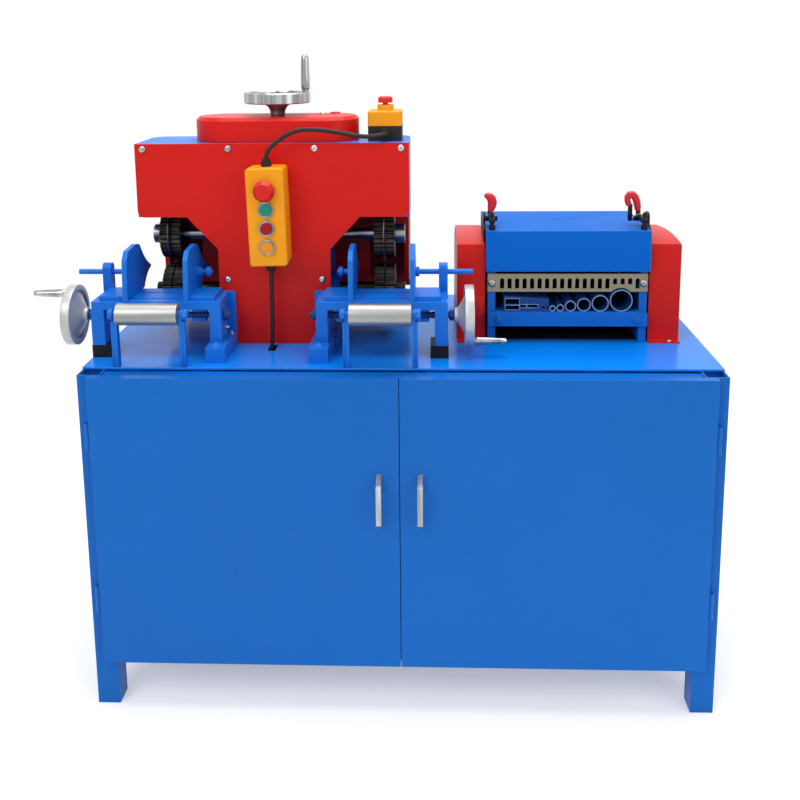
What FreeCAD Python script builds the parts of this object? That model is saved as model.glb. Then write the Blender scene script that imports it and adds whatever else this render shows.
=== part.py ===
import FreeCAD, Part
import math
import os
import Sketcher

# Electric wire stripping machine: a steel cabinet that carries a two-wheel cable stripping head on its
# left, fed through two guide stations with adjustable jaws, and a small multi-hole stripper on its right.
# Lengths are millimetres. Everything is drawn in the cabinet's frame: X from the cabinet's middle,
# Y backwards from the front of the posts and Z up from the floor. node() moves each finished sub-part
# to the part's own frame, whose origin is the middle of the footprint on the floor.

SIZES = {
    # Place of the cabinet in the part's frame
    "cabinet_mid_x": 55.0,
    "posts_front_y": -237.5,
    # Cabinet and table
    "table_width": 1100.0,
    "table_depth": 515.0,
    "table_top": 625.0,
    "table_plate": 4.0,
    "table_setback": 30.0,
    "post_size": 40.0,
    "post_wall": 3.0,
    "rail_size": 30.0,
    "rail_wall": 2.5,
    "front_rail_drop": 3.0,
    "leg_clear": 93.0,
    "sheet": 1.5,
    "cross_beam_left": -470.0,
    "cross_beam_motor": -345.0,
    "cross_beam_drive": 62.0,
    "cross_beam_right": 330.0,
    # Doors, their barrel hinges and bow handles
    "door_margin": 20.0,
    "door_low": 91.0,
    "door_high": 621.0,
    "door_thick": 14.0,
    "door_back_gap": 0.5,
    "door_split_gap": 1.4,
    "door_fold": 1.5,
    "hinge_axis_out": 4.8,
    "hinge_axis_y": -8.5,
    "hinge_radius": 4.5,
    "hinge_pin": 2.2,
    "hinge_half": 25.0,
    "hinge_high_z": 488.0,
    "hinge_low_z": 186.0,
    "hinge_leaf": 3.0,
    "running_gap": 0.05,
    "face_gap": 0.3,
    "handle_x": 35.0,
    "handle_low": 358.0,
    "handle_high": 453.0,
    "handle_width": 9.0,
    "handle_thick": 4.0,
    "handle_reach": 26.0,
    "handle_slant": 15.0,
    # Head: column, casing, front plate and rear exit hood
    "head_x": -232.5,
    "shaft_y": 238.0,
    "column_half": 98.0,
    "column_front": 170.0,
    "column_back": 306.0,
    "column_wall": 5.0,
    "casing_half": 248.0,
    "casing_low": 863.5,
    "casing_high": 998.0,
    "casing_back": 310.0,
    "casing_wall": 4.0,
    "casing_corner": 28.0,
    "front_plate_thick": 4.0,
    "wing_taper_half": 158.0,
    "stem_half": 103.3,
    "stem_shoulder": 804.0,
    "wing_corner": 12.0,
    "hood_half": 243.0,
    "hood_low": 702.0,
    "hood_high": 980.0,
    "hood_depth": 140.0,
    "hood_wall": 2.0,
    "hood_window_half": 34.0,
    "hood_window_low": 716.0,
    "hood_window_high": 806.0,
    # Top cover and the lifting screw with its handwheel
    "lift_shift": 3.0,
    "cover_long": 302.0,
    "cover_deep": 124.0,
    "cover_corner": 60.0,
    "cover_high": 45.0,
    "cover_wall": 3.0,
    "cover_round": 6.0,
    "lift_screw_radius": 9.0,
    "lift_screw_low": 852.0,
    "top_wheel_radius": 61.0,
    "top_rim_low": 1066.0,
    "top_rim_high": 1086.0,
    "top_crank_radius": 53.0,
    "top_crank_long": 68.0,
    # Feed wheels, cutter and their shafts
    "upper_axis": 820.0,
    "lower_axis": 713.0,
    "wheel_spread": 200.0,
    "wheel_radius": 46.0,
    "tooth_deep": 3.0,
    "tooth_count": 30,
    "ring_width": 17.5,
    "ring_space": 3.0,
    "cutter_radius": 55.0,
    "cutter_thick": 2.0,
    "cutter_bevel": 2.4,
    "groove_floor": 33.0,
    "upper_shaft_radius": 10.0,
    "lower_shaft_radius": 12.0,
    "shaft_reach": 237.5,
    "collar_radius": 18.0,
    "collar_width": 18.5,
    "lift_up": 12.0,
    "lift_down": 8.0,
    "carriage_low": 792.0,
    "carriage_high": 905.0,
    "carriage_bridge": 34.0,
    "carriage_cheek": 18.0,
    "carriage_side_gap": 4.0,
    "bearing_radius": 30.0,
    "bearing_long": 16.0,
    "sprocket_radius": 36.0,
    "sprocket_teeth": 16,
    "sprocket_wide": 8.0,
    "sprocket_tooth": 4.0,
    "chain_thick": 9.0,
    "chain_wide": 12.0,
    # Drive under the table
    "line_axis": 513.0,
    "line_radius": 12.5,
    "motor_radius": 60.0,
    "motor_long": 125.0,
    "gearhead_radius": 46.0,
    "gearhead_long": 62.0,
    "hanger_wide": 22.0,
    # Guide stations in front of the feed wheels
    "bed_half": 115.0,
    "bed_front": 83.0,
    "bed_back": 178.0,
    "bed_back_inner": 166.0,
    "bed_notch": 92.0,
    "bed_top": 727.0,
    "bed_thick": 14.0,
    "bed_slot_front": 108.0,
    "bed_slot_back": 150.0,
    "bed_slot_wide": 6.0,
    "bed_slot_half": 96.0,
    "outer_leg_wide": 23.0,
    "outer_leg_deep": 52.0,
    "outer_leg_out": 93.5,
    "inner_leg_wide": 20.0,
    "inner_leg_out": 95.5,
    "inner_leg_deep": 52.0,
    "foot_block_high": 23.0,
    "foot_block_wide": 32.0,
    "base_rail_wide": 34.0,
    "base_rail_high": 27.0,
    "base_rail_front": 53.0,
    "gusset_thick": 8.0,
    "screw_y": 108.0,
    "screw_z": 697.0,
    "screw_radius": 6.0,
    "jaw_inner": 50.0,
    "jaw_thick": 8.5,
    "jaw_front": 84.0,
    "jaw_brow_y": 91.0,
    "jaw_brow": 800.0,
    "jaw_crown_y": 104.0,
    "jaw_crown": 814.0,
    "jaw_apex_y": 150.0,
    "jaw_apex": 817.0,
    "jaw_temple_y": 174.0,
    "jaw_temple": 811.0,
    "jaw_nose_y": 236.0,
    "jaw_nose_low": 756.0,
    "jaw_nose_high": 760.0,
    "jaw_heel_y": 190.0,
    "jaw_upper_scoop": 150.0,
    "jaw_lower_scoop": 60.0,
    "jaw_close": 30.0,
    "jaw_open": 9.0,
    "slide_plate_long": 45.0,
    "slide_plate_high": 8.0,
    "slide_plate_back": 156.0,
    "nut_block": 24.0,
    "tongue_clear": 0.5,
    "rod_y": 167.0,
    "rod_z": 762.0,
    "rod_radius": 4.8,
    "rod_reach": 163.0,
    "post_out": 101.0,
    "post_wide": 16.0,
    "post_deep": 20.0,
    "post_high": 779.0,
    "rod_nut_radius": 9.0,
    "rod_nut_long": 7.0,
    "side_wheel_radius": 54.0,
    "side_wheel_near": 146.0,
    "side_rim_wide": 16.0,
    "side_crank_y": 14.0,
    "side_crank_z": 43.0,
    "side_crank_long": 58.0,
    "crank_grip_radius": 5.0,
    "crank_boss_radius": 8.0,
    "roller_radius": 19.0,
    "roller_half": 53.0,
    "roller_y": 37.0,
    "roller_z": 718.0,
    "roller_pin": 6.0,
    "roller_arm_thick": 6.0,
    "roller_arm_deep": 14.0,
    # Control station, its push buttons and the emergency stop on the casing
    "station_lean": 1.3,
    "station_x": -234.5,
    "station_front": 106.0,
    "station_wide": 67.0,
    "station_high": 175.0,
    "station_mid_z": 873.1,
    "station_corner": 6.0,
    "station_lid": 38.0,
    "button_pitch": 33.5,
    "bezel_radius": 14.2,
    "bezel_high": 4.5,
    "button_radius": 10.5,
    "button_stand": 8.5,
    "button_travel": 3.5,
    "button_first": 14.9,
    "button_stem_radius": 5.0,
    "station_soft": 2.0,
    "button_stem": 20.0,
    "mushroom_radius": 19.0,
    "mushroom_high": 11.0,
    "mushroom_side": 3.5,
    "top_stop_x": -29.0,
    "top_stop_wide": 62.0,
    "top_stop_front": 200.0,
    "top_stop_deep": 66.0,
    "top_stop_base": 27.0,
    "top_stop_lid": 27.0,
    "top_stop_collar": 10.0,
    "top_stop_collar_radius": 15.0,
    "top_mushroom_radius": 13.5,
    "top_mushroom_crown": 5.0,
    "top_mushroom_high": 11.0,
    "gland_radius": 9.5,
    "gland_long": 14.0,
    "gland_z": 1013.0,
    "cable_radius": 4.0,
    "cable_sides": 6,
    "table_slot_x": -236.0,
    "table_slot_y": 144.0,
    # Small stripper
    "small_left": 102.0,
    "small_right": 511.0,
    "small_cover_left": 52.0,
    "small_cover_right": 57.0,
    "small_front": 188.5,
    "small_back": 420.0,
    "small_cover_top": 805.0,
    "small_cover_round": 60.0,
    "small_cover_sheet": 2.0,
    "small_flange": 16.0,
    "lid_left": 155.0,
    "lid_right": 453.0,
    "lid_front": 175.0,
    "lid_back": 382.0,
    "lid_low": 759.5,
    "lid_top": 835.0,
    "lid_sheet": 3.0,
    "side_plate_left": 158.5,
    "side_plate_right": 449.5,
    "side_plate_thick": 14.0,
    "side_plate_front": 182.0,
    "side_plate_back": 396.0,
    "guide_plate_left": 158.0,
    "guide_plate_right": 449.5,
    "guide_plate_front": 178.0,
    "guide_plate_thick": 4.0,
    "guide_plate_low": 721.0,
    "guide_plate_high": 754.5,
    "slot_first": 180.7,
    "slot_pitch": 13.7,
    "slot_count": 15,
    "slot_wide": 7.7,
    "slot_low": 726.7,
    "slot_high": 746.4,
    "short_slot_low": 734.7,
    "short_slot_first": 386.4,
    "short_slot_pitch": 13.6,
    "short_slot_count": 3,
    "last_slot": 427.3,
    "crossbar_low": 657.0,
    "crossbar_high": 681.5,
    "crossbar_front": 172.0,
    "crossbar_deep": 18.0,
    "tube_shelf": 3.0,
    "tube_front": 174.0,
    "tube_long": 62.0,
    "tube_wall": 2.2,
    "tube_one": 20.9,
    "tube_two": 15.7,
    "tube_three": 12.8,
    "tube_four": 10.4,
    "tube_five": 7.0,
    "tube_six": 5.9,
    "tube_first": 401.4,
    "tube_space": 1.2,
    "tube_notch": 2.0,
    "channel_left": 188.0,
    "channel_right": 270.0,
    "channel_high": 713.0,
    "channel_slope": 5.2,
    "knife_y": 290.0,
    "top_roller_z": 758.0,
    "blade_shaft_z": 718.5,
    "bottom_roller_z": 671.0,
    "top_roller_radius": 18.0,
    "bottom_roller_radius": 21.0,
    "roller_inset": 3.0,
    "gear_wide": 12.0,
    "gear_teeth": 24,
    "gear_tooth": 3.0,
    "gear_mesh": 1.2,
    "blade_disc": 16.0,
    "small_shaft": 8.0,
    "blade_count": 5,
    "blade_thick": 2.0,
    "clamp_plate": 4.0,
    "clamp_front": 200.0,
    "clamp_back": 262.0,
    "clamp_low": 808.0,
    "clamp_lug_half": 9.0,
    "clamp_pin": 3.0,
    "clamp_pin_reach": 23.0,
    "arm_pivot_y": 222.0,
    "arm_pivot_z": 852.0,
    "arm_wide": 10.0,
    "arm_high": 10.0,
    "arm_in": 6.0,
    "spindle_y": 189.0,
    "spindle_radius": 3.5,
    "spindle_top": 866.0,
    "pad_radius": 6.0,
    "pad_high": 8.0,
    "grip_pivot_y": 233.0,
    "grip_pivot_z": 846.0,
    "grip_leg_thick": 2.5,
    "grip_leg_wide": 8.0,
    "grip_wide": 28.0,
    "grip_prong": 9.0,
    "grip_deep": 12.0,
    "grip_low": 870.0,
    "grip_arch_low": 892.0,
    "grip_top": 907.0,
}

# Windows of the small wires' guide block: left, right, low and high, from the block's lower left corner
WINDOWS = ((2.5, 28.0, 3.5, 11.5), (2.5, 28.0, 13.0, 24.0), (29.5, 40.7, 7.5, 13.2),
           (42.7, 61.8, 7.5, 13.2), (69.0, 75.0, 5.5, 9.5), (77.0, 80.5, 5.5, 9.5))

# Routes of the two cables, each from gland to gland
CONTROL_ROUTE = ((-236.5, 136.0, 974.6), (-236.5, 136.0, 991.0), (-228.0, 137.0, 1007.0),
                 (-212.0, 138.0, 1019.0), (-183.0, 139.5, 1025.5), (-141.0, 141.5, 1026.0),
                 (-99.0, 143.5, 1020.0), (-72.0, 144.0, 1013.5), (-56.2, 143.8, 1010.6),
                 (-43.3, 149.2, 1011.3), (-33.4, 159.1, 1012.4), (-28.0, 172.0, 1013.0),
                 (-28.0, 186.0, 1013.0))
SUPPLY_ROUTE = ((-233.5, 136.0, 771.6), (-233.5, 136.0, 705.0), (-237.0, 143.0, 610.0),
                (-252.0, 149.0, 560.0), (-285.0, 153.0, 528.0), (-330.0, 156.0, 506.0),
                (-370.0, 158.0, 500.0), (-401.0, 158.0, 500.0))

document = FreeCAD.newDocument("wire_stripping_machine")
sheet = document.addObject("Spreadsheet::Sheet", "Sizes")
nodes = {}
homes = {}


class Length(float):
    """A number that remembers the sheet expression it comes from."""

    def __new__(cls, value, text):
        number = float.__new__(cls, value)
        number.text = text
        return number

    def __add__(self, other):
        return Length(float(self) + float(other), f"({self.text} + {text_of(other)})")

    def __radd__(self, other):
        return Length(float(other) + float(self), f"({text_of(other)} + {self.text})")

    def __sub__(self, other):
        return Length(float(self) - float(other), f"({self.text} - {text_of(other)})")

    def __rsub__(self, other):
        return Length(float(other) - float(self), f"({text_of(other)} - {self.text})")

    def __mul__(self, other):
        return Length(float(self) * float(other), f"({self.text} * {text_of(other)})")

    def __rmul__(self, other):
        return Length(float(other) * float(self), f"({text_of(other)} * {self.text})")

    def __truediv__(self, other):
        return Length(float(self) / float(other), f"({self.text} / {text_of(other)})")

    def __neg__(self):
        return Length(-float(self), f"(-{self.text})")


def text_of(value):
    return value.text if isinstance(value, Length) else repr(float(value))


class Sheet:
    """The sizes by name, each one a Length tied to its cell."""


def fill_sheet():
    sizes = Sheet()
    for row, (name, value) in enumerate(SIZES.items(), start=1):
        sheet.set(f"A{row}", name)
        sheet.set(f"B{row}", str(value))
        sheet.setAlias(f"B{row}", name)
        setattr(sizes, name, Length(value, f"Sizes.{name}"))
    document.recompute()
    return sizes


S = fill_sheet()

ALONG = {
    "x": FreeCAD.Rotation(FreeCAD.Vector(0, 1, 0), 90),
    "y": FreeCAD.Rotation(FreeCAD.Vector(1, 0, 0), -90),
    "z": FreeCAD.Rotation(),
}
# How a sketch lies: a "side" outline is (y, z), a "front" outline (x, z) and a "top" outline (x, y).
FACING = {
    "side": FreeCAD.Rotation(FreeCAD.Vector(1, 1, 1), 120),
    "front": FreeCAD.Rotation(FreeCAD.Vector(1, 0, 0), 90),
    "top": FreeCAD.Rotation(),
}
# How a turned outline (radius, place along the axis) lies.
TURNED = {
    "x": FreeCAD.Rotation(FreeCAD.Vector(0, 0, 1), -90),
    "y": FreeCAD.Rotation(),
    "z": FreeCAD.Rotation(FreeCAD.Vector(1, 0, 0), 90),
}


def bind(thing, path, value):
    thing.setExpression(path, text_of(value))


def place(thing, corner, rotation=FreeCAD.Rotation()):
    """Put a piece at a corner of the cabinet's frame, tied to the sheet."""
    thing.Placement = FreeCAD.Placement(FreeCAD.Vector(*map(float, corner)), rotation)
    for letter, value in zip("xyz", corner):
        bind(thing, f"Placement.Base.{letter}", value)
    homes[thing.Name] = corner


def block(x1, x2, y1, y2, z1, z2):
    """A box between two corners."""
    low = (min(x1, x2), min(y1, y2), min(z1, z2))
    high = (max(x1, x2), max(y1, y2), max(z1, z2))
    box = document.addObject("Part::Box", "Block")
    for side, start, end in zip(("Length", "Width", "Height"), low, high):
        bind(box, side, end - start)
    place(box, low)
    return box


def rod(along, start, end, centre, radius):
    """A round bar from start to end along an axis; centre gives the other two coordinates in order."""
    low, high = min(start, end), max(start, end)
    bar = document.addObject("Part::Cylinder", "Rod")
    bind(bar, "Radius", radius)
    bind(bar, "Height", high - low)
    first, second = centre
    corner = {"x": (low, first, second), "y": (first, low, second), "z": (first, second, low)}[along]
    place(bar, corner, ALONG[along])
    return bar


def fuse(*pieces):
    joined = document.addObject("Part::MultiFuse", "Fused")
    joined.Shapes = list(pieces)
    return joined


def cut(base, *tools):
    tool = tools[0] if len(tools) == 1 else fuse(*tools)
    made = document.addObject("Part::Cut", "Cut")
    made.Base = base
    made.Tool = tool
    return made


def group(*pieces):
    """Several separate solids that belong to one node."""
    together = document.addObject("Part::Compound", "Group")
    together.Links = list(pieces)
    return together


def copy_of(piece, shift, rotation=FreeCAD.Rotation()):
    """The same piece again, moved."""
    again = document.addObject("Part::Compound", "Copy")
    again.Links = [piece]
    place(again, shift, rotation)
    return again


def tube(along, start, end, centre, outer, inner):
    return cut(rod(along, start, end, centre, outer), rod(along, start, end, centre, inner))


class Arc:
    """Joins two corners of an outline by an arc; turn is +1 anticlockwise and -1 clockwise."""

    def __init__(self, radius, turn):
        self.radius = radius
        self.turn = turn


def arc_centre(start, end, arc):
    """Centre of the short arc between two points."""
    across = end.sub(start)
    half = across.Length / 2
    rise = math.sqrt(max(float(arc.radius) ** 2 - half ** 2, 0.0))
    normal = FreeCAD.Vector(-across.y, across.x, 0).normalize()
    return start.add(end).multiply(0.5).add(normal.multiply(arc.turn * rise))


def tie_point(sketch, rules, edge, end, point):
    """Fix one end of an edge at its distances from the sketch's origin."""
    for kind, axis, value in (("DistanceX", -2, point[0]), ("DistanceY", -1, point[1])):
        if not isinstance(value, Length) and value == 0:
            rules.append((Sketcher.Constraint("PointOnObject", edge, end, axis), None))
        else:
            rules.append((Sketcher.Constraint(kind, -1, 1, edge, end, float(value)), value))


def draw(sketch, outline):
    """Draw a closed outline of straight runs and arcs; every corner is tied to the sheet."""
    corners = [step for step in outline if not isinstance(step, Arc)]
    arcs = {}
    for index, step in enumerate(outline):
        if isinstance(step, Arc):
            arcs[sum(not isinstance(other, Arc) for other in outline[:index]) - 1] = step
    spots = [FreeCAD.Vector(float(x), float(y), 0) for x, y in corners]
    first = sketch.GeometryCount
    edges = []
    starts = []
    for index, spot in enumerate(spots):
        after = spots[(index + 1) % len(spots)]
        arc = arcs.get(index)
        if arc is None:
            edges.append(Part.LineSegment(spot, after))
            starts.append((1, 2))
            continue
        centre = arc_centre(spot, after, arc)
        circle = Part.Circle(centre, FreeCAD.Vector(0, 0, 1), float(arc.radius))
        angles = [math.atan2(end.y - centre.y, end.x - centre.x) for end in (spot, after)]
        if arc.turn < 0:
            angles.reverse()
        if angles[1] < angles[0]:
            angles[1] += 2 * math.pi
        edges.append(Part.ArcOfCircle(circle, angles[0], angles[1]))
        starts.append((1, 2) if arc.turn > 0 else (2, 1))
    sketch.addGeometry(edges, False)
    rules = []
    for index, corner in enumerate(corners):
        before = (index - 1) % len(corners)
        rules.append((Sketcher.Constraint("Coincident", first + before, starts[before][1],
                                          first + index, starts[index][0]), None))
        tie_point(sketch, rules, first + index, starts[index][0], corner)
        if index in arcs:
            radius = arcs[index].radius
            rules.append((Sketcher.Constraint("Radius", first + index, float(radius)), radius))
    apply_rules(sketch, rules)


def draw_circle(sketch, centre, radius):
    spot = FreeCAD.Vector(float(centre[0]), float(centre[1]), 0)
    sketch.addGeometry(Part.Circle(spot, FreeCAD.Vector(0, 0, 1), float(radius)), False)
    edge = sketch.GeometryCount - 1
    rules = [(Sketcher.Constraint("Radius", edge, float(radius)), radius)]
    tie_point(sketch, rules, edge, 3, centre)
    apply_rules(sketch, rules)


def apply_rules(sketch, rules):
    """Add the constraints and tie those that carry a size to their cells."""
    first = sketch.ConstraintCount
    sketch.addConstraint([rule for rule, _ in rules])
    for offset, (_, value) in enumerate(rules):
        if isinstance(value, Length):
            sketch.setExpression(f"Constraints[{first + offset}]", value.text)


def new_body():
    return document.addObject("PartDesign::Body", "Body")


def sketch_in(body, outlines, circles=()):
    sketch = body.newObject("Sketcher::SketchObject", "Sketch")
    planes = [plane for plane in body.Origin.OriginFeatures if plane.Role == "XY_Plane"]
    sketch.AttachmentSupport = [(planes[0], "")]
    sketch.MapMode = "FlatFace"
    for outline in outlines:
        draw(sketch, outline)
    for centre, radius in circles:
        draw_circle(sketch, centre, radius)
    return sketch


def feature(body, kind, sketch, **lengths):
    made = body.newObject(f"PartDesign::{kind}", kind)
    made.Profile = sketch
    for name, value in lengths.items():
        bind(made, name, value)
    return made


def plate(facing, start, end, outlines, circles=()):
    """A flat piece cut to an outline; further outlines and circles are its holes."""
    body = new_body()
    feature(body, "Pad", sketch_in(body, outlines, circles), Length=max(start, end) - min(start, end))
    if facing == "side":
        corner = (min(start, end), 0, 0)
    elif facing == "front":
        corner = (0, max(start, end), 0)
    else:
        corner = (0, 0, min(start, end))
    place(body, corner, FACING[facing])
    return body


def pocket(body, start, end, outlines=(), circles=()):
    """Cut outlines out of a flat piece between two depths counted from its sketch plane."""
    sketch = sketch_in(body, outlines, circles)
    low, high = min(start, end), max(start, end)
    bind(sketch, "AttachmentOffset.Base.z", low)
    made = feature(body, "Pocket", sketch, Length=high - low)
    made.Reversed = True
    return made


def turned(along, centre, outline):
    """A piece turned about an axis; its outline is (radius, place along the axis)."""
    body = new_body()
    revolve(body, outline)
    first, second = centre
    corner = {"x": (0, first, second), "y": (first, 0, second), "z": (first, second, 0)}[along]
    place(body, corner, TURNED[along])
    return body


def revolve(body, outline):
    sketch = sketch_in(body, [outline])
    made = body.newObject("PartDesign::Revolution", "Revolution")
    made.Profile = sketch
    made.ReferenceAxis = (sketch, ["V_Axis"])
    made.Angle = 360
    return made


def polar(body, original, axis, count):
    """Repeat a feature evenly round an axis of the body's origin."""
    pattern = body.newObject("PartDesign::PolarPattern", "PolarPattern")
    pattern.Originals = [original]
    pattern.Axis = (origin_line(body, axis), [""])
    pattern.Angle = 360
    pattern.Occurrences = int(count)
    bind(pattern, "Occurrences", count)
    body.Tip = pattern
    return pattern


def in_line(body, original, axis, pitch, count):
    pattern = body.newObject("PartDesign::LinearPattern", "LinearPattern")
    pattern.Originals = [original]
    pattern.Direction = (origin_line(body, axis), [""])
    bind(pattern, "Length", pitch * (count - 1))
    pattern.Occurrences = int(count)
    bind(pattern, "Occurrences", count)
    body.Tip = pattern
    return pattern


def origin_line(body, axis):
    return [line for line in body.Origin.OriginFeatures if line.Role == f"{axis}_Axis"][0]


def chamfer(body, size, wanted):
    """Bevel the edges of a body that wanted() picks."""
    document.recompute()
    base = body.Tip
    names = [f"Edge{number}" for number, edge in enumerate(base.Shape.Edges, start=1) if wanted(edge)]
    bevelled = body.newObject("PartDesign::Chamfer", "Chamfer")
    bevelled.Base = (base, names)
    bind(bevelled, "Size", size)
    return bevelled


def rounded_box_outline(x1, x2, y1, y2, radius):
    """A rectangle with four round corners, anticlockwise."""
    return [(x1 + radius, y1), (x2 - radius, y1), Arc(radius, 1), (x2, y1 + radius), (x2, y2 - radius),
            Arc(radius, 1), (x2 - radius, y2), (x1 + radius, y2), Arc(radius, 1), (x1, y2 - radius),
            (x1, y1 + radius), Arc(radius, 1)]


def rectangle(x1, x2, y1, y2):
    return [(min(x1, x2), y1), (max(x1, x2), y1), (max(x1, x2), y2), (min(x1, x2), y2)]


def node(label, *pieces):
    """Name a finished sub-part, move it to the part's frame and list it for export."""
    piece = pieces[0] if len(pieces) == 1 else group(*pieces)
    piece.Label = label
    x, y, z = homes.get(piece.Name, (0, 0, 0))
    for letter, value in (("x", S.cabinet_mid_x + x), ("y", S.posts_front_y + y), ("z", z)):
        bind(piece, f"Placement.Base.{letter}", value)
    nodes[label] = piece
    return piece


def box_tube(x1, x2, y1, y2, z1, z2, wall, along):
    """A square tube, open at its two ends."""
    inner = [x1 + wall, x2 - wall, y1 + wall, y2 - wall, z1 + wall, z2 - wall]
    first = "xyz".index(along) * 2
    inner[first:first + 2] = (x1, x2, y1, y2, z1, z2)[first:first + 2]
    return cut(block(x1, x2, y1, y2, z1, z2), block(*inner))


# Cabinet

half_width = S.table_width / 2
plate_under = S.table_top - S.table_plate
beam_under = plate_under - S.rail_size


def cabinet_frame():
    post, rail = S.post_size, S.rail_size
    posts = []
    for left in (-half_width, half_width - post):
        for front in (0, S.table_depth - post):
            posts.append(box_tube(left, left + post, front, front + post, 0, plate_under, S.post_wall, "z"))
    inset = (post - rail) / 2
    rails = []
    for low in (S.leg_clear, beam_under):
        front_low = low - S.front_rail_drop if low is beam_under else low
        rails.append(box_tube(-half_width + post, half_width - post, S.front_rail_drop,
                              S.front_rail_drop + rail, front_low, front_low + rail, S.rail_wall, "x"))
        rails.append(box_tube(-half_width + post, half_width - post, S.table_depth - inset - rail,
                              S.table_depth - inset, low, low + rail, S.rail_wall, "x"))
        for left in (-half_width + inset, half_width - inset - rail):
            rails.append(box_tube(left, left + rail, post, S.table_depth - post, low, low + rail,
                                  S.rail_wall, "y"))
    for middle in (S.cross_beam_left, S.cross_beam_motor, S.cross_beam_drive, S.cross_beam_right):
        rails.append(box_tube(middle - rail / 2, middle + rail / 2, S.front_rail_drop + rail,
                              S.table_depth - inset - rail, beam_under, plate_under, S.rail_wall, "y"))
    skin = S.sheet
    back = S.table_depth - inset
    floor = S.leg_clear + rail
    panels = [block(-half_width + post, half_width - post, back, back + skin, S.leg_clear, plate_under),
              block(-half_width + post, half_width - post, S.front_rail_drop, back, floor, floor + skin)]
    for side in (-half_width + inset - skin, half_width - inset):
        panels.append(block(side, side + skin, post, S.table_depth - post, S.leg_clear, plate_under))
    node("cabinet_frame", *posts, *rails, *panels, *hinge_halves())


def door_outer():
    """Distance of a door's outer edge from the middle of the cabinet."""
    return half_width - S.door_margin


def hinge_halves():
    """Fixed lower halves of the four lift-off hinges, each with its pin and a leaf to the post."""
    halves = []
    for side in (-1, 1):
        x = side * (door_outer() + S.hinge_axis_out)
        y = hinge_y()
        for low in (S.hinge_low_z, S.hinge_high_z):
            barrel = rod("z", low, low + S.hinge_half, (x, y), S.hinge_radius)
            pin = rod("z", low, low + 2 * S.hinge_half - S.hinge_leaf, (x, y), S.hinge_pin)
            outer = x + side * S.hinge_radius
            leaf = block(outer - side * S.hinge_leaf, outer, y, 0, low, low + S.hinge_half)
            halves.append(fuse(barrel, pin, leaf))
    return halves


def hinge_y():
    return S.hinge_axis_y


def table():
    plate_body = plate("top", plate_under, S.table_top, [
        rectangle(-half_width, half_width, S.table_setback, S.table_depth),
        rectangle(S.head_x - chain_slot_half(), S.head_x + chain_slot_half(),
                  S.shaft_y - S.sprocket_radius - S.chain_thick - chain_room,
                  S.shaft_y + S.sprocket_radius + S.chain_thick + chain_room),
        rectangle(small_chain_x() - chain_slot_half(), small_chain_x() + chain_slot_half(),
                  S.shaft_y - chain_room * 3, S.knife_y + S.sprocket_radius + S.chain_thick + chain_room),
        rectangle(S.table_slot_x - cable_slot_wide / 2, S.table_slot_x + cable_slot_wide / 2,
                  S.table_slot_y - cable_slot_long / 2, S.table_slot_y + cable_slot_long / 2)])
    node("table_plate", plate_body)


chain_room = 6.0
cable_slot_wide = 14.0
cable_slot_long = 44.0


def chain_slot_half():
    return S.chain_wide / 2 + chain_room


def small_chain_x():
    return S.small_left + S.small_cover_left / 2 - 10.0


def door(side, name):
    """One overlay door: a folded pan with its hinge halves and a bow handle."""
    front = -S.door_back_gap - S.door_thick
    inner = side * S.door_split_gap / 2
    outer = side * door_outer()
    pan = plate("front", front, -S.door_back_gap, [rectangle(inner, outer, S.door_low, S.door_high)])
    low, high = min(inner, outer), max(inner, outer)
    fold = S.door_fold
    pocket(pan, 0, S.door_thick - fold, [rectangle(low + fold, high - fold, S.door_low + fold,
                                                   S.door_high - fold)])
    pieces = [pan]
    x = outer + side * S.hinge_axis_out
    y = hinge_y()
    for start in (S.hinge_low_z, S.hinge_high_z):
        low = start + S.hinge_half + S.face_gap
        barrel = tube("z", low, low + S.hinge_half, (x, y), S.hinge_radius,
                      S.hinge_pin + S.running_gap)
        leaf = block(outer, x - side * (S.hinge_pin + S.running_gap), y + S.hinge_pin + S.running_gap,
                     y + S.hinge_radius, low, low + S.hinge_half)
        pieces.append(fuse(barrel, leaf))
    node(name, *pieces)
    x = side * S.handle_x
    half = S.handle_width / 2
    reach, slant, thick = S.handle_reach, S.handle_slant, S.handle_thick
    bow = plate("side", x - half, x + half, [[
        (front, S.handle_low), (front, S.handle_low + thick), (front - reach + thick, S.handle_low + slant),
        (front - reach + thick, S.handle_high - slant), (front, S.handle_high - thick),
        (front, S.handle_high), (front - reach, S.handle_high - slant + thick / 2),
        (front - reach, S.handle_low + slant - thick / 2)]])
    node(name + "_handle", bow)


# Drive under the table

# Each V is this much wider than a tooth's pitch, so that two of them leave a sharp tooth
V_OVERLAP = 1.04


def toothed_disc(start, end, centre, radius, bore, teeth, deep, turn=0):
    """A sprocket or feed ring across X: a disc with sharp V teeth cut round its rim."""
    body = new_body()
    feature(body, "Pad", sketch_in(body, [], [((0, 0), radius), ((0, 0), bore)]), Length=end - start)
    half_turn = math.pi / float(teeth) * V_OVERLAP
    wide = radius * (2 * math.sin(half_turn))
    top = radius * (2 * math.cos(half_turn) - 1) + deep
    cutter = pocket(body, 0, end - start, [[(wide * -1, top), (0, radius - deep), (wide, top)]])
    polar(body, cutter, "Z", teeth)
    spin = FreeCAD.Rotation(FreeCAD.Vector(0, 0, 1), turn)
    place(body, (start, centre[0], centre[1]), FACING["side"].multiply(spin))
    return body


def sprocket(x, centre, bore):
    return toothed_disc(x - S.sprocket_wide / 2, x + S.sprocket_wide / 2, centre, S.sprocket_radius, bore,
                        S.sprocket_teeth, S.sprocket_tooth)


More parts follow.
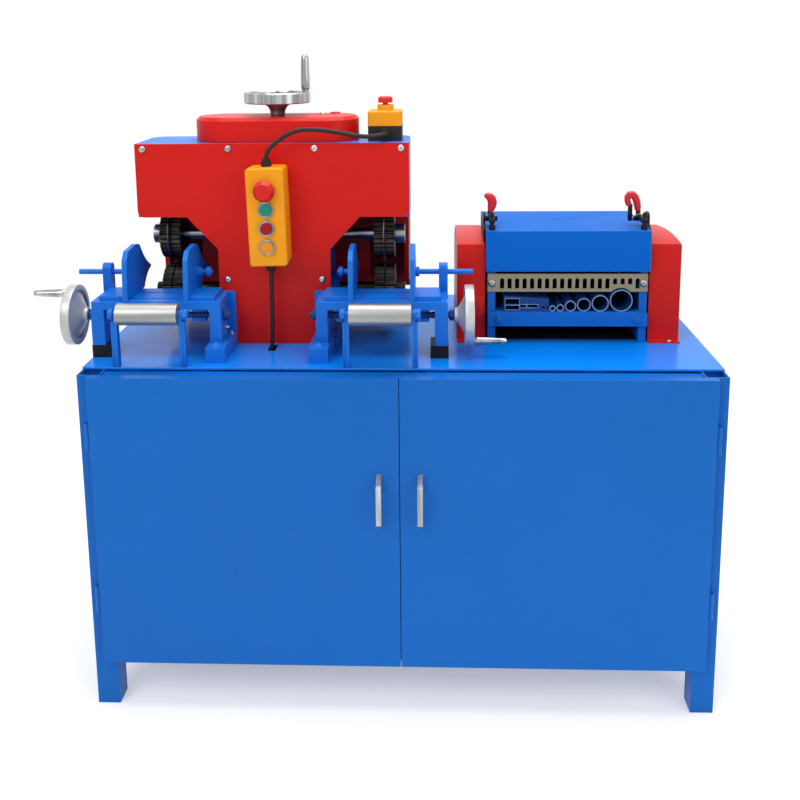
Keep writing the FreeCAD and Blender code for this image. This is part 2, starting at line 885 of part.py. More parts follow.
def chain(x, low_centre, high_centre):
    """A roller chain drawn as its closed loop round two equal sprockets."""
    inner = S.sprocket_radius + S.face_gap
    span = FreeCAD.Vector(0, float(high_centre[0] - low_centre[0]), float(high_centre[1] - low_centre[1]))
    tilt = math.degrees(math.atan2(-span.y, span.z))
    loops = []
    for radius in (inner + S.chain_thick, inner):
        loops.append([(radius, 0), (radius, span.Length), Arc(radius * 1.0, 1), (0, span.Length + radius),
                      Arc(radius * 1.0, 1), (-radius, span.Length), (-radius, 0), Arc(radius * 1.0, 1),
                      (0, -radius), Arc(radius * 1.0, 1)])
    body = new_body()
    feature(body, "Pad", sketch_in(body, loops), Length=S.chain_wide)
    place(body, (x - S.chain_wide / 2, low_centre[0], low_centre[1]),
          FACING["side"].multiply(FreeCAD.Rotation(FreeCAD.Vector(0, 0, 1), tilt)))
    return body


def drive():
    axis = (S.shaft_y, S.line_axis)
    shaft_start = S.cross_beam_motor + S.rail_size / 2 + 8.0
    small_x = small_chain_x()
    head_sprocket = sprocket(S.head_x, axis, S.line_radius)
    small_sprocket = sprocket(small_x, axis, S.line_radius)
    shaft = rod("x", shaft_start, small_x + S.sprocket_wide / 2 + 6.0, axis, S.line_radius)
    coupling = tube("x", shaft_start, shaft_start + 34.0, axis, S.line_radius * 2, S.line_radius)
    node("line_shaft", shaft, coupling, head_sprocket, small_sprocket)
    gear_end = shaft_start - 6.0
    gear_start = gear_end - S.gearhead_long
    motor_start = gear_start - S.motor_long
    shell = fuse(rod("x", motor_start - 26.0, gear_start, axis, S.motor_radius),
                 rod("x", gear_start, gear_end, axis, S.gearhead_radius),
                 block(motor_start + 30.0, motor_start + 100.0, S.shaft_y - S.motor_radius - 34.0,
                       S.shaft_y - S.motor_radius + 20.0, S.line_axis - 32.0, S.line_axis + 32.0),
                 rod("x", gear_end, gear_end + 6.0 - S.face_gap, axis, S.line_radius))
    bracket_low = S.line_axis + 20.0
    brackets = [block(gear_start - 5.0, gear_start + 5.0, S.shaft_y - 50.0, S.shaft_y + 50.0, bracket_low,
                      beam_under - 6.0),
                block(motor_start + 8.0, motor_start + 20.0, S.shaft_y - 50.0, S.shaft_y + 50.0,
                      bracket_low, beam_under - 6.0),
                block(motor_start + 4.0, gear_start + 20.0, S.shaft_y - 60.0,
                      S.shaft_y + 60.0, beam_under - 6.0, beam_under)]
    node("drive_motor", fuse(shell, *brackets))
    hangers = []
    for x in (S.cross_beam_motor + 70.0, S.cross_beam_drive):
        half = S.hanger_wide / 2
        radius = S.line_radius * 2
        arm = plate("side", x - half, x + half, [[
            (S.shaft_y - radius, S.line_axis), Arc(radius, 1), (S.shaft_y, S.line_axis - radius),
            Arc(radius, 1), (S.shaft_y + radius, S.line_axis), (S.shaft_y + radius, beam_under - 8.0),
            (S.shaft_y + radius * 2, beam_under - 8.0), (S.shaft_y + radius * 2, beam_under),
            (S.shaft_y - radius * 2, beam_under), (S.shaft_y - radius * 2, beam_under - 8.0),
            (S.shaft_y - radius, beam_under - 8.0)]],
            [((S.shaft_y, S.line_axis), S.line_radius + S.running_gap)])
        hangers.append(arm)
    first_beam = S.cross_beam_motor + 70.0
    hangers.append(block(first_beam - S.rail_size / 2, first_beam + S.rail_size / 2, S.shaft_y - 60.0,
                         S.shaft_y + 60.0, beam_under, plate_under))
    lower = (S.shaft_y, S.lower_axis)
    for side in (-1, 1):
        face = S.head_x + side * S.column_half
        hub = rod("x", face, face + side * S.bearing_long, lower, S.bearing_radius)
        hangers.append(cut(hub, rod("x", face, face + side * S.bearing_long, lower,
                                    S.lower_shaft_radius + S.running_gap)))
    node("shaft_bearings", *hangers)
    node("drive_chains", chain(S.head_x, axis, lower),
         chain(small_x, axis, (S.knife_y, S.bottom_roller_z)))


# Head

def head_body():
    half = S.column_half
    front, back = S.column_front, S.column_back
    top = S.casing_high - S.casing_wall
    wall = S.column_wall
    sides = []
    for side in (-1, 1):
        face = S.head_x + side * half
        sides.append(plate("side", face, face - side * wall, [
            rectangle(front, back, S.table_top, top),
            rectangle(S.shaft_y - slot_half(), S.shaft_y + slot_half(),
                      S.upper_axis - S.lift_down - slot_half(), S.upper_axis + S.lift_up + slot_half())],
            [((S.shaft_y, S.lower_axis), S.lower_shaft_radius + 2.0)]))
    inner = half - wall
    ends = [block(S.head_x - inner, S.head_x + inner, start, start + wall, S.table_top, top)
            for start in (front, back - wall)]
    foot = cut(block(S.head_x - half - 14.0, S.head_x + half + 14.0, front, back + 24.0, S.table_top,
                     S.table_top + 10.0),
               block(S.head_x - half, S.head_x + half, front, back, S.table_top, S.table_top + 10.0))
    node("head_column", *sides, *ends, foot)
    half = S.casing_half
    back = S.casing_back
    corner = S.casing_corner
    shell = plate("top", S.casing_low, S.casing_high, [[
        (S.head_x - half, front), (S.head_x + half, front), (S.head_x + half, back - corner),
        Arc(corner, 1), (S.head_x + half - corner, back), (S.head_x - half + corner, back),
        Arc(corner, 1), (S.head_x - half, back - corner)]])
    wall = S.casing_wall
    inner = corner - wall
    pocket(shell, 0, S.casing_high - S.casing_low - wall, [[
        (S.head_x - half + wall, front + wall), (S.head_x + half - wall, front + wall),
        (S.head_x + half - wall, back - corner), Arc(inner, 1), (S.head_x + half - corner, back - wall),
        (S.head_x - half + corner, back - wall), Arc(inner, 1), (S.head_x - half + wall, back - corner)]])
    window = block(S.head_x - half + rim, S.head_x + half - rim, front, front + wall, S.casing_low,
                   S.casing_high - wall)
    lift_x = S.head_x + S.lift_shift
    bore = rod("z", S.casing_high - wall, S.casing_high, (lift_x, S.shaft_y), S.lift_screw_radius + 2.0)
    node("head_casing", cut(shell, window, bore))


rim = 25.0


def slot_half():
    return S.upper_shaft_radius + 2.0


def front_plate():
    """The T-shaped front plate."""
    x, half, corner = S.head_x, S.casing_half, S.wing_corner
    low = S.casing_low
    foot = S.table_top
    back = S.column_front
    front = back - S.front_plate_thick
    outline = [
        (x - S.stem_half, foot), (x + S.stem_half, foot), (x + S.stem_half, S.stem_shoulder),
        (x + S.wing_taper_half, low), (x + half - corner, low), Arc(corner, 1), (x + half, low + corner),
        (x + half, S.casing_high), (x - half, S.casing_high), (x - half, low + corner), Arc(corner, 1),
        (x - half + corner, low), (x - S.wing_taper_half, low), (x - S.stem_half, S.stem_shoulder)]
    node("front_plate", plate("front", front, back, [outline]))


def exit_hood():
    """Rear hood that turns the stripped cable down behind the head; open below."""
    half, wall = S.hood_half, S.hood_wall
    front, back = S.casing_back, S.casing_back + S.hood_depth
    x = S.head_x
    shell = cut(block(x - half, x + half, front, back, S.hood_low, S.hood_high),
                block(x - half + wall, x + half - wall, front + wall, back - wall, S.hood_low,
                      S.hood_high - wall))
    windows = []
    for side in (-1, 1):
        middle = x + side * S.wheel_spread
        windows.append(block(middle - S.hood_window_half, middle + S.hood_window_half, front, front + wall,
                             S.hood_window_low, S.hood_window_high))
    node("exit_hood", cut(shell, *windows))


def top_cover():
    lift_x = S.head_x + S.lift_shift
    low, high = S.casing_high, S.casing_high + S.cover_high
    half, deep = S.cover_long / 2, S.cover_deep / 2
    wall = S.cover_wall
    cover = plate("top", low, high, [rounded_box_outline(lift_x - half, lift_x + half, S.shaft_y - deep,
                                                         S.shaft_y + deep, S.cover_corner)])
    chamfer(cover, S.cover_round, lambda edge: edge.BoundBox.ZMin > S.cover_high - 0.1)
    pocket(cover, 0, S.cover_high - wall - S.cover_round, [rounded_box_outline(
        lift_x - half + wall, lift_x + half - wall, S.shaft_y - deep + wall, S.shaft_y + deep - wall,
        S.cover_corner - wall)])
    pocket(cover, 0, S.cover_high, [], [((lift_x, S.shaft_y), S.lift_screw_radius + S.running_gap)])
    node("top_cover", cover)



def handwheel(along, centre, hub, rim, radius, thick, hub_radius, spin, boss_at):
    """A dished handwheel: hub, three sloping spokes, a rim and the boss of its crank grip.

    hub and rim are (start, end) along the axis; the spokes slope from the hub's end to the rim's middle.
    """
    body = new_body()
    hub_start, hub_end = hub
    revolve(body, [(0, hub_start), (hub_radius, hub_start), (hub_radius, hub_end), (0, hub_end)])
    out = 1 if hub_end > hub_start else -1
    bar = out * SPOKE_THICK
    root = hub_radius * 0.5
    tip = radius - thick * 0.6
    middle = (rim[0] + rim[1]) / 2
    sketch = sketch_in(body, [[(root, hub_end - bar), (tip, middle - bar / 2), (tip, middle + bar / 2),
                               (root, hub_end)]])
    sketch.AttachmentOffset = FreeCAD.Placement(FreeCAD.Vector(0, 0, -SPOKE_WIDE / 2), FreeCAD.Rotation())
    spoke = feature(body, "Pad", sketch, Length=SPOKE_WIDE)
    polar(body, spoke, "Y", 3)
    near, far = rim
    body.Tip = revolve(body, [(radius - thick, near), (radius, near), (radius, far), (radius - thick, far)])
    first, second = centre
    corner = {"x": (0, first, second), "z": (first, second, 0)}[along]
    place(body, corner, TURNED[along].multiply(FreeCAD.Rotation(FreeCAD.Vector(0, 1, 0), spin)))
    boss = rod(along, near, far, boss_at, S.crank_boss_radius)
    return cut(fuse(body, boss), rod(along, near, far, boss_at, PIN_RADIUS + S.running_gap))


SPOKE_THICK = 8.0
SPOKE_WIDE = 11.0
PIN_RADIUS = 3.5


def crank_grip(along, centre, start, seat, end):
    """A straight round grip whose thin pin turns in the handwheel's boss."""
    out = 1 if end > start else -1
    grip = S.crank_grip_radius
    seat = seat + out * S.face_gap
    return turned(along, centre, [
        (0, start), (PIN_RADIUS, start), (PIN_RADIUS, seat), (grip, seat), (grip, end), (0, end)])


def lifting_gear():
    """Top handwheel with its screw, the crank grip and the carriage that the screw raises."""
    lift_x = S.head_x + S.lift_shift
    axis = (lift_x, S.shaft_y)
    seat = S.casing_high + S.cover_high + S.face_gap
    boss_at = (lift_x + S.top_crank_radius, S.shaft_y)
    wheel = handwheel("z", axis, (seat, seat + 20.0), (S.top_rim_low, S.top_rim_high), S.top_wheel_radius,
                      11.0, 11.5, 90, boss_at)
    screw = rod("z", S.lift_screw_low, seat, axis, S.lift_screw_radius)
    node("top_handwheel", wheel, screw)
    node("top_crank_handle", crank_grip("z", boss_at, S.top_rim_low, S.top_rim_high,
                                           S.top_rim_high + S.top_crank_long))
    x = S.head_x
    outer = S.column_half - S.column_wall - S.carriage_side_gap
    slack = 1.0
    bridge = block(x - outer, x + outer, S.column_front + S.column_wall + slack,
                   S.column_back - S.column_wall - slack, S.carriage_high - S.carriage_bridge,
                   S.carriage_high)
    pieces = [bridge]
    tools = [rod("z", S.carriage_high - S.carriage_bridge, S.carriage_high, axis,
                 S.lift_screw_radius + S.running_gap)]
    reach = 40.0
    for side in (-1, 1):
        low, high = sorted((x + side * outer, x + side * (outer - S.carriage_cheek)))
        pieces.append(block(low, high, S.shaft_y - reach, S.shaft_y + reach, S.carriage_low,
                            S.carriage_high - S.carriage_bridge))
        tools.append(rod("x", low, high, (S.shaft_y, S.upper_axis), S.upper_shaft_radius + S.running_gap))
    node("bearing_carriage", cut(fuse(*pieces), *tools))


def feed_train():
    """Upper and lower toothed feed wheels with the cutter discs between the upper rings."""
    x, y = S.head_x, S.shaft_y
    upper = (y, S.upper_axis)
    lower = (y, S.lower_axis)
    half_space = S.ring_space / 2
    ring_starts = []
    for side in (-1, 1):
        middle = x + side * S.wheel_spread
        ring_starts += [middle - half_space - S.ring_width, middle + half_space]
    ring = toothed_disc(0, S.ring_width, upper, S.wheel_radius, S.upper_shaft_radius, S.tooth_count,
                        S.tooth_deep)
    node("upper_feed_wheels", *[copy_of(ring, (start, 0, 0)) for start in ring_starts])
    reach = S.shaft_reach
    solids = [rod("x", x - reach, x + reach, upper, S.upper_shaft_radius)]
    for side in (-1, 1):
        end = x + side * reach
        solids.append(tube("x", end, end - side * S.collar_width, upper, S.collar_radius,
                           S.upper_shaft_radius))
        middle = x + side * S.wheel_spread
        thick = S.cutter_thick / 2
        solids.append(turned("x", upper, [
            (S.upper_shaft_radius, middle - thick), (S.cutter_radius, middle - thick),
            (S.cutter_radius - S.cutter_bevel, middle + thick), (S.upper_shaft_radius, middle + thick)]))
    node("cutter_shaft", *solids)
    low_ring = toothed_disc(0, S.ring_width, lower, S.wheel_radius, S.lower_shaft_radius, S.tooth_count,
                            S.tooth_deep)
    wheels = []
    for side in (-1, 1):
        middle = x + side * S.wheel_spread
        wheels.append(tube("x", middle - half_space, middle + half_space, lower, S.groove_floor,
                           S.lower_shaft_radius))
        wheels += [copy_of(low_ring, (start, 0, 0))
                   for start in (middle - half_space - S.ring_width, middle + half_space)]
    node("lower_feed_shaft", rod("x", x - reach, x + reach, lower, S.lower_shaft_radius),
         sprocket(x, lower, S.lower_shaft_radius), *wheels)


# Guide stations

def station(out, name):
    """One guide station: bed on legs, rod post, roller arms, two jaws, screw and handwheel.

    out is -1 on the left of the head and +1 on its right; offsets grow away from the head.
    """
    middle = S.head_x + out * S.wheel_spread

    def at(offset):
        return middle + out * offset

    screw = (S.screw_y, S.screw_z)
    bed_low = S.bed_top - S.bed_thick
    inner_end, notch, outer_end = at(-S.bed_half), at(-S.bed_notch), at(S.bed_half)
    slots = []
    for y in (S.bed_slot_front, S.bed_slot_back):
        half = S.bed_slot_wide / 2
        slots.append(rectangle(at(-S.bed_slot_half), at(S.bed_slot_half), y - half, y + half))
    bed = plate("top", bed_low, S.bed_top, [[
        (inner_end, S.bed_front), (outer_end, S.bed_front), (outer_end, S.bed_back), (notch, S.bed_back),
        (notch, S.bed_back_inner), (inner_end, S.bed_back_inner)]] + slots)
    foot_top = S.table_top + S.foot_block_high
    leg = S.outer_leg_out
    outer_leg = block(at(leg), at(leg + S.outer_leg_wide), S.bed_front, S.bed_front + S.outer_leg_deep,
                      foot_top, bed_low)
    rail_top = S.table_top + S.base_rail_high
    inner = -S.inner_leg_out
    inner_leg = block(at(inner), at(inner - S.inner_leg_wide), S.bed_front,
                      S.bed_front + S.inner_leg_deep, rail_top, bed_low)
    rail = block(at(inner + 3.0), at(inner + 3.0 - S.base_rail_wide), S.base_rail_front,
                 S.bed_back_inner, S.table_top, rail_top)
    flange = block(at(inner), at(inner + 3.0 - S.base_rail_wide), S.bed_back_inner - 6.0,
                   S.bed_back_inner, rail_top, S.bed_top)
    web = block(at(inner - 6.0), at(inner - 6.0 - S.gusset_thick), S.bed_front + S.inner_leg_deep,
                S.bed_back_inner - 6.0, rail_top, bed_low)
    post = rod_post(at(S.post_out), at(S.post_out + S.post_wide))
    bores = [rod("x", at(-S.bed_half - 20.0), at(S.bed_half + 20.0), screw,
                 S.screw_radius + S.running_gap)]
    frame = cut(fuse(bed, outer_leg, inner_leg, rail, flange, web, post), *bores)
    node(name + "_station", frame, *roller_arms(at))
    node(name + "_outer_jaw", *jaw(at, 1))
    node(name + "_inner_jaw", *jaw(at, -1))
    hub_start = at(S.side_wheel_near - 18.0)
    rim = (at(S.side_wheel_near), at(S.side_wheel_near + S.side_rim_wide))
    drop = -1 if out > 0 else 1
    boss_at = (S.screw_y - S.side_crank_y, S.screw_z + drop * S.side_crank_z)
    wheel = handwheel("x", screw, (hub_start, rim[0]), rim, S.side_wheel_radius, 10.0, 11.5, 30 * out,
                      boss_at)
    lead_screw = rod("x", hub_start, at(-S.inner_leg_out - S.inner_leg_wide - 14.0), screw, S.screw_radius)
    stop = tube("x", at(-S.inner_leg_out - S.inner_leg_wide - S.face_gap),
                at(-S.inner_leg_out - S.inner_leg_wide - 8.0), screw, 10.0, S.screw_radius)
    node(name + "_handwheel", wheel, lead_screw, stop)
    node(name + "_crank_handle", crank_grip("x", boss_at, rim[0], rim[1],
                                            at(S.side_wheel_near + S.side_rim_wide + S.side_crank_long)))
    reach = S.roller_half
    pin = reach + S.roller_arm_thick + 3.0
    spin = (S.roller_y, S.roller_z)
    low, high = middle - reach, middle + reach
    body = turned("x", spin, [
        (0, middle - pin), (S.roller_pin, middle - pin), (S.roller_pin, low), (S.roller_radius, low),
        (S.roller_radius, high), (S.roller_pin, high), (S.roller_pin, middle + pin), (0, middle + pin)])
    node(name + "_front_roller", body)
    return block(at(leg - 8.0), at(leg - 8.0 + S.foot_block_wide), S.bed_front,
                 S.bed_front + S.outer_leg_deep, S.table_top, foot_top)


def rod_post(x1, x2):
    """Upright lug with a round top that the outer jaw's rod slides through."""
    half = S.post_deep / 2
    y = S.rod_y
    top = S.post_high - half
    return plate("side", x1, x2, [[
        (y - half, S.bed_top - S.bed_thick), (y + half, S.bed_top - S.bed_thick), (y + half, top),
        Arc(half, 1), (y, top + half), Arc(half, 1), (y - half, top)]],
        [((y, S.rod_z), S.rod_radius + S.running_gap)])


def roller_arms(at):
    """Two flat upright arms on the table's front edge that carry the front roller."""
    arms = []
    half = S.roller_arm_deep / 2
    y, z = S.roller_y, S.roller_z
    for side in (-1, 1):
        near = at(side * (S.roller_half + 0.5))
        arms.append(plate("side", near, at(side * (S.roller_half + 0.5 + S.roller_arm_thick)), [[
            (y - half, S.table_top), (y + half, S.table_top), (y + half, z), Arc(half * 1.0, 1),
            (y, z + half), Arc(half * 1.0, 1), (y - half, z)]],
            [((y, z), S.roller_pin + S.running_gap)]))
    return arms


def jaw(at, side):
    """A jaw plate on its slide, with the nut block below the bed and its guide rod or stud."""
    face = side * S.jaw_inner
    back = side * (S.jaw_inner + S.jaw_thick)
    bed = S.bed_top
    profile = plate("side", at(face), at(back), [[
        (S.jaw_front, bed), (S.jaw_heel_y, bed), Arc(S.jaw_lower_scoop, -1),
        (S.jaw_nose_y, S.jaw_nose_low), (S.jaw_nose_y, S.jaw_nose_high), Arc(S.jaw_upper_scoop, -1),
        (S.jaw_temple_y, S.jaw_temple), Arc(S.jaw_lower_scoop, 1), (S.jaw_apex_y, S.jaw_apex),
        (S.jaw_crown_y, S.jaw_crown), (S.jaw_brow_y, S.jaw_brow)]])
    slide = block(at(back), at(back + side * S.slide_plate_long), S.jaw_front + 8.0, S.slide_plate_back,
                  bed, bed + S.slide_plate_high)
    half = S.bed_slot_wide / 2 - S.tongue_clear
    block_half = S.nut_block / 2
    start, end = back + side * 1.0, back + side * (S.nut_block + 1.0)
    nut_top = S.screw_z + block_half
    neck = block(at(start), at(end - side * 3.0), S.bed_slot_front - half, S.bed_slot_front + half,
                 nut_top, bed)
    tongue = block(at(start), at(end - side * 3.0), S.bed_slot_back - half, S.bed_slot_back + half,
                   bed - S.bed_thick + 1.0, bed)
    nut = block(at(start), at(end), S.bed_slot_front - half, S.screw_y + block_half + 1.0,
                S.screw_z - block_half, nut_top)
    solid = cut(fuse(profile, slide, neck, tongue, nut),
                rod("x", at(start), at(end), (S.screw_y, S.screw_z), S.screw_radius + S.running_gap))
    reach = S.rod_reach if side > 0 else S.jaw_inner + S.jaw_thick + 26.0
    line = (S.rod_y, S.rod_z)
    bar = rod("x", at(back), at(side * reach), line, S.rod_radius)
    nuts = [rod("x", at(back), at(back + side * S.rod_nut_long), line, S.rod_nut_radius)]
    if side < 0:
        nuts.append(rod("x", at(back + side * 16.0), at(back + side * (16.0 + S.rod_nut_long)), line,
                        S.rod_nut_radius))
    return solid, fuse(bar, *nuts)


# Controls

def on_station(up):
    """Place on the control box's leaning centreline, up from its middle."""
    lean = math.radians(S.station_lean)
    return S.station_x - up * math.sin(lean), S.station_mid_z + up * math.cos(lean)


def crowned(radius, edge, crown):
    """Corners of a round head's top, from its edge in to the axis."""
    return [(radius, edge), (radius * 0.7, crown), (0, crown)]


def controls():
    """Control box with its lid, four bezels and four push buttons."""
    front, back = S.station_front, S.column_front - S.front_plate_thick
    seam = front + S.station_lid
    half_wide, half_high = S.station_wide / 2, S.station_high / 2
    corner = S.station_corner
    lean = FreeCAD.Rotation(FreeCAD.Vector(0, 1, 0), -float(S.station_lean))
    lid = plate("front", front, seam - S.face_gap, [
        rounded_box_outline(-half_wide, half_wide, -half_high, half_high, corner)])
    chamfer(lid, S.station_soft, lambda edge: edge.BoundBox.ZMin > S.station_lid - S.face_gap - 0.1)
    base = plate("front", seam - S.face_gap, back, [
        rounded_box_outline(-half_wide + 0.8, half_wide - 0.8, -half_high + 0.8, half_high - 0.8, corner)])
    for piece, y in ((lid, seam - S.face_gap), (base, back)):
        place(piece, (S.station_x, y, S.station_mid_z), lean.multiply(FACING["front"]))
    ups = [S.button_first + S.button_pitch * (1 - step) for step in range(4)]
    bores, bezels = [], []
    for up in ups:
        spot = on_station(up)
        bores.append(rod("y", front, front + S.button_stem + S.button_travel + 2.0, spot,
                         S.button_radius + S.running_gap))
        bezels.append(tube("y", front - S.bezel_high, front, spot, S.bezel_radius,
                           S.button_radius + S.running_gap))
    node("control_box", cut(fuse(lid, base), *bores))
    node("control_bezels", *bezels)
    under = front - S.button_stand
    inner_end = front + S.button_stem
    node("estop_button", turned("y", on_station(ups[0]), [
        (0, inner_end), (S.button_radius, inner_end), (S.button_radius, under),
        (S.mushroom_radius, under)] + crowned(S.mushroom_radius, under - S.mushroom_side,
                                              under - S.mushroom_high)))
    for name, up in zip(("green_button", "red_button", "yellow_button"), ups[1:]):
        node(name, rod("y", under, inner_end, on_station(up), S.button_radius))


def top_stop():
    """Emergency stop in its own box on the casing."""
    x, y = S.top_stop_x, S.top_stop_front + S.top_stop_deep / 2
    half_wide, half_deep = S.top_stop_wide / 2, S.top_stop_deep / 2
    low = S.casing_high
    middle = low + S.top_stop_base
    top = middle + S.top_stop_lid
    corner = S.station_corner
    node("top_estop_base", plate("top", low, middle, [
        rounded_box_outline(x - half_wide, x + half_wide, y - half_deep, y + half_deep, corner)]))
    lid = plate("top", middle, top, [
        rounded_box_outline(x - half_wide, x + half_wide, y - half_deep, y + half_deep, corner)])
    chamfer(lid, S.station_soft, lambda edge: edge.BoundBox.ZMin > S.top_stop_lid - 0.1)
    rise = top + S.top_stop_collar
    collar = rod("z", top, rise, (x, y), S.top_stop_collar_radius)
    bore = rod("z", middle + 3.0, rise, (x, y), S.button_stem_radius + S.running_gap)
    node("top_estop_lid", cut(fuse(lid, collar), bore))
    head = S.top_mushroom_radius
    under = rise + S.button_travel + 0.5
    stem = S.button_stem_radius
    stem_end = middle + 3.0 + S.button_travel + 1.0
    crown = under + S.top_mushroom_high
    node("top_estop_button", turned("z", (x, y), [
        (0, stem_end), (stem, stem_end), (stem, under), (head, under)] + crowned(
            head, crown - S.top_mushroom_crown, crown)))


def gland(along, centre, start, end):
    """A cable gland: a nut and the smaller dome that the cable leaves."""
    radius = S.gland_radius
    neck = start + (end - start) * 0.6
    return turned(along, centre, [
        (0, start), (radius, start), (radius, neck), (radius - 2.5, neck), (radius - 2.5, end), (0, end)])


def cables():
    """Both cables with their glands; each cable meets its glands face to face."""
    top = CONTROL_ROUTE[0]
    bottom = SUPPLY_ROUTE[0]
    into_stop = CONTROL_ROUTE[-1]
    into_motor = SUPPLY_ROUTE[-1]
    long = S.gland_long
    node("cable_glands", gland("z", (top[0], top[1]), top[2] - long, top[2]),
         gland("z", (bottom[0], bottom[1]), bottom[2] + long, bottom[2]),
         gland("y", (into_stop[0], into_stop[2]), into_stop[1] + long, into_stop[1]),
         gland("x", (into_motor[1], into_motor[2]), into_motor[0] - long, into_motor[0]))
    cable("control_cable", CONTROL_ROUTE)
    cable("supply_cable", SUPPLY_ROUTE)


def cable(name, route):
    """A cable of few sides, with a round one's section area, along straight runs joined by tangent arcs."""
    points = [FreeCAD.Vector(*spot) for spot in route]
    edges = []
    radii = []
    last = points[0]
    for before, corner, after in zip(points, points[1:], points[2:]):
        into = corner.sub(before)
        away = after.sub(corner)
        turn = into.getAngle(away)
        reach = 0.45 * min(into.Length, away.Length)
        radii.append(reach / math.tan(turn / 2))
        into.normalize()
        away.normalize()
        start = corner - into * reach
        end = corner + away * reach
        inward = (away - into).normalize()
        rise = reach * math.tan(turn / 4)
        middle = (start + end) * 0.5 + (corner - (start + end) * 0.5).normalize() * rise \
            if inward.Length else corner
        edges.append(Part.LineSegment(last, start).toShape())
        edges.append(Part.Arc(start, middle, end).toShape())
        last = end
    edges.append(Part.LineSegment(last, points[-1]).toShape())
    path = Part.Wire(edges)
    radius = float(S.cable_radius)
    step = 2 * math.pi / float(S.cable_sides)
    corner_radius = radius * math.sqrt(step / math.sin(step))
    across = FreeCAD.Rotation(FreeCAD.Vector(0, 0, 1), points[1].sub(points[0]))
    corners = [points[0] + across.multVec(FreeCAD.Vector(corner_radius * math.cos(step * turn),
                                                         corner_radius * math.sin(step * turn), 0))
               for turn in range(int(S.cable_sides) + 1)]
    solid = path.makePipeShell([Part.makePolygon(corners)], True, False, 0)
    ideal = math.pi * radius ** 2 * path.Length
    print(name, "radii", [round(value, 1) for value in radii], "length", round(path.Length, 1),
          "volume ratio", round(solid.Volume / ideal, 4))
    run = document.addObject("Part::Feature", "Cable")
    run.Shape = solid
    place(run, (0, 0, 0))
    node(name, run)


# Small stripper

def stripper_frame():
    """Two side plates, the front crossbar and the shelf under the tube guides."""
    left, right = S.side_plate_left, S.side_plate_right
    thick = S.side_plate_thick
    front, back = S.side_plate_front, S.side_plate_back
    roof = S.lid_top - S.lid_sheet
    shafts = [((S.knife_y, height), S.small_shaft + S.running_gap)
              for height in (S.bottom_roller_z, S.blade_shaft_z, S.top_roller_z)]
    plates = []
    for start in (left, right - thick):
        plates.append(plate("side", start, start + thick, [[
            (front, S.table_top), (back, S.table_top), (back, S.lid_low), (S.lid_back - S.lid_sheet - 1.0,
            S.lid_low), (S.lid_back - S.lid_sheet - 1.0, roof), (front, roof)]], shafts))
    bar = block(left, right, S.crossbar_front, S.crossbar_front + S.crossbar_deep, S.crossbar_low,
                S.crossbar_high)
    shelf = block(left + thick, right - thick, S.crossbar_front, S.tube_front + S.tube_long + 4.0,
                  S.crossbar_high, S.crossbar_high + S.tube_shelf)
    node("stripper_frame", fuse(*plates, bar, shelf))


def stripper_covers():
    """Left and right drive covers, open below and towards the side plates."""
    front, back, top = S.small_front, S.small_back, S.small_cover_top
    low = S.table_top
    round_top, sheet_thick = S.small_cover_round, S.small_cover_sheet
    outer = [(front, low), (back, low), (back, top - round_top), Arc(round_top, 1), (back - round_top, top),
             (front, top)]
    inner = [(front + sheet_thick, low), (back - sheet_thick, low), (back - sheet_thick, top - round_top),
             Arc(round_top - sheet_thick, 1), (back - round_top, top - sheet_thick),
             (front + sheet_thick, top - sheet_thick)]
    covers = []
    for x, wide, depths in ((S.small_left, S.small_cover_left, (sheet_thick, S.small_cover_left)),
                            (S.small_right - S.small_cover_right, S.small_cover_right,
                             (0, S.small_cover_right - sheet_thick))):
        shell = plate("side", x, x + wide, [outer])
        pocket(shell, depths[0], depths[1], [inner])
        covers.append(fuse(shell, block(x, x + wide, front - S.small_flange, front, low,
                                        low + sheet_thick)))
    node("stripper_covers", *covers)


def stripper_lid():
    left, right = S.lid_left, S.lid_right
    front, back = S.lid_front, S.lid_back
    wall = S.lid_sheet
    node("stripper_lid", cut(block(left, right, front, back, S.lid_low, S.lid_top),
                             block(left + wall, right - wall, front + wall, back - wall, S.lid_low,
                                   S.lid_top - wall),
                             rod("x", left, right, (S.knife_y, S.top_roller_z), S.small_shaft + 2.0)))


def arched(x, low, high):
    """A guide slot standing on its flat end, with a round top."""
    wide = S.slot_wide
    return [(x, low), (x + wide, low), (x + wide, high - wide / 2), Arc(wide / 2, 1),
            (x + wide / 2, high), Arc(wide / 2, 1), (x, high - wide / 2)]


def guide_plate():
    """Slotted front plate that holds flat and twin cables upright in front of the blades."""
    left, right = S.guide_plate_left, S.guide_plate_right
    front = S.guide_plate_front
    thick = S.guide_plate_thick
    low, high = S.guide_plate_low, S.guide_plate_high
    radius = S.tube_one + S.tube_notch
    middle_z = S.crossbar_high + S.tube_shelf + S.tube_one
    x = S.tube_first
    reach = math.sqrt(float(radius) ** 2 - float(low - middle_z) ** 2)
    body = plate("front", front, front + thick, [rectangle(left, right, low, high)])
    pocket(body, 0, thick, [arched(S.last_slot, S.slot_low, S.slot_high)])
    pocket(body, 0, thick, [], [((x, middle_z), radius)])
    tall = pocket(body, 0, thick, [arched(S.slot_first, S.slot_low, S.slot_high)])
    in_line(body, tall, "X", S.slot_pitch, S.slot_count)
    short = pocket(body, 0, thick, [arched(S.short_slot_first, S.short_slot_low, S.slot_high)])
    in_line(body, short, "X", S.short_slot_pitch, S.short_slot_count)
    node("guide_plate", body)


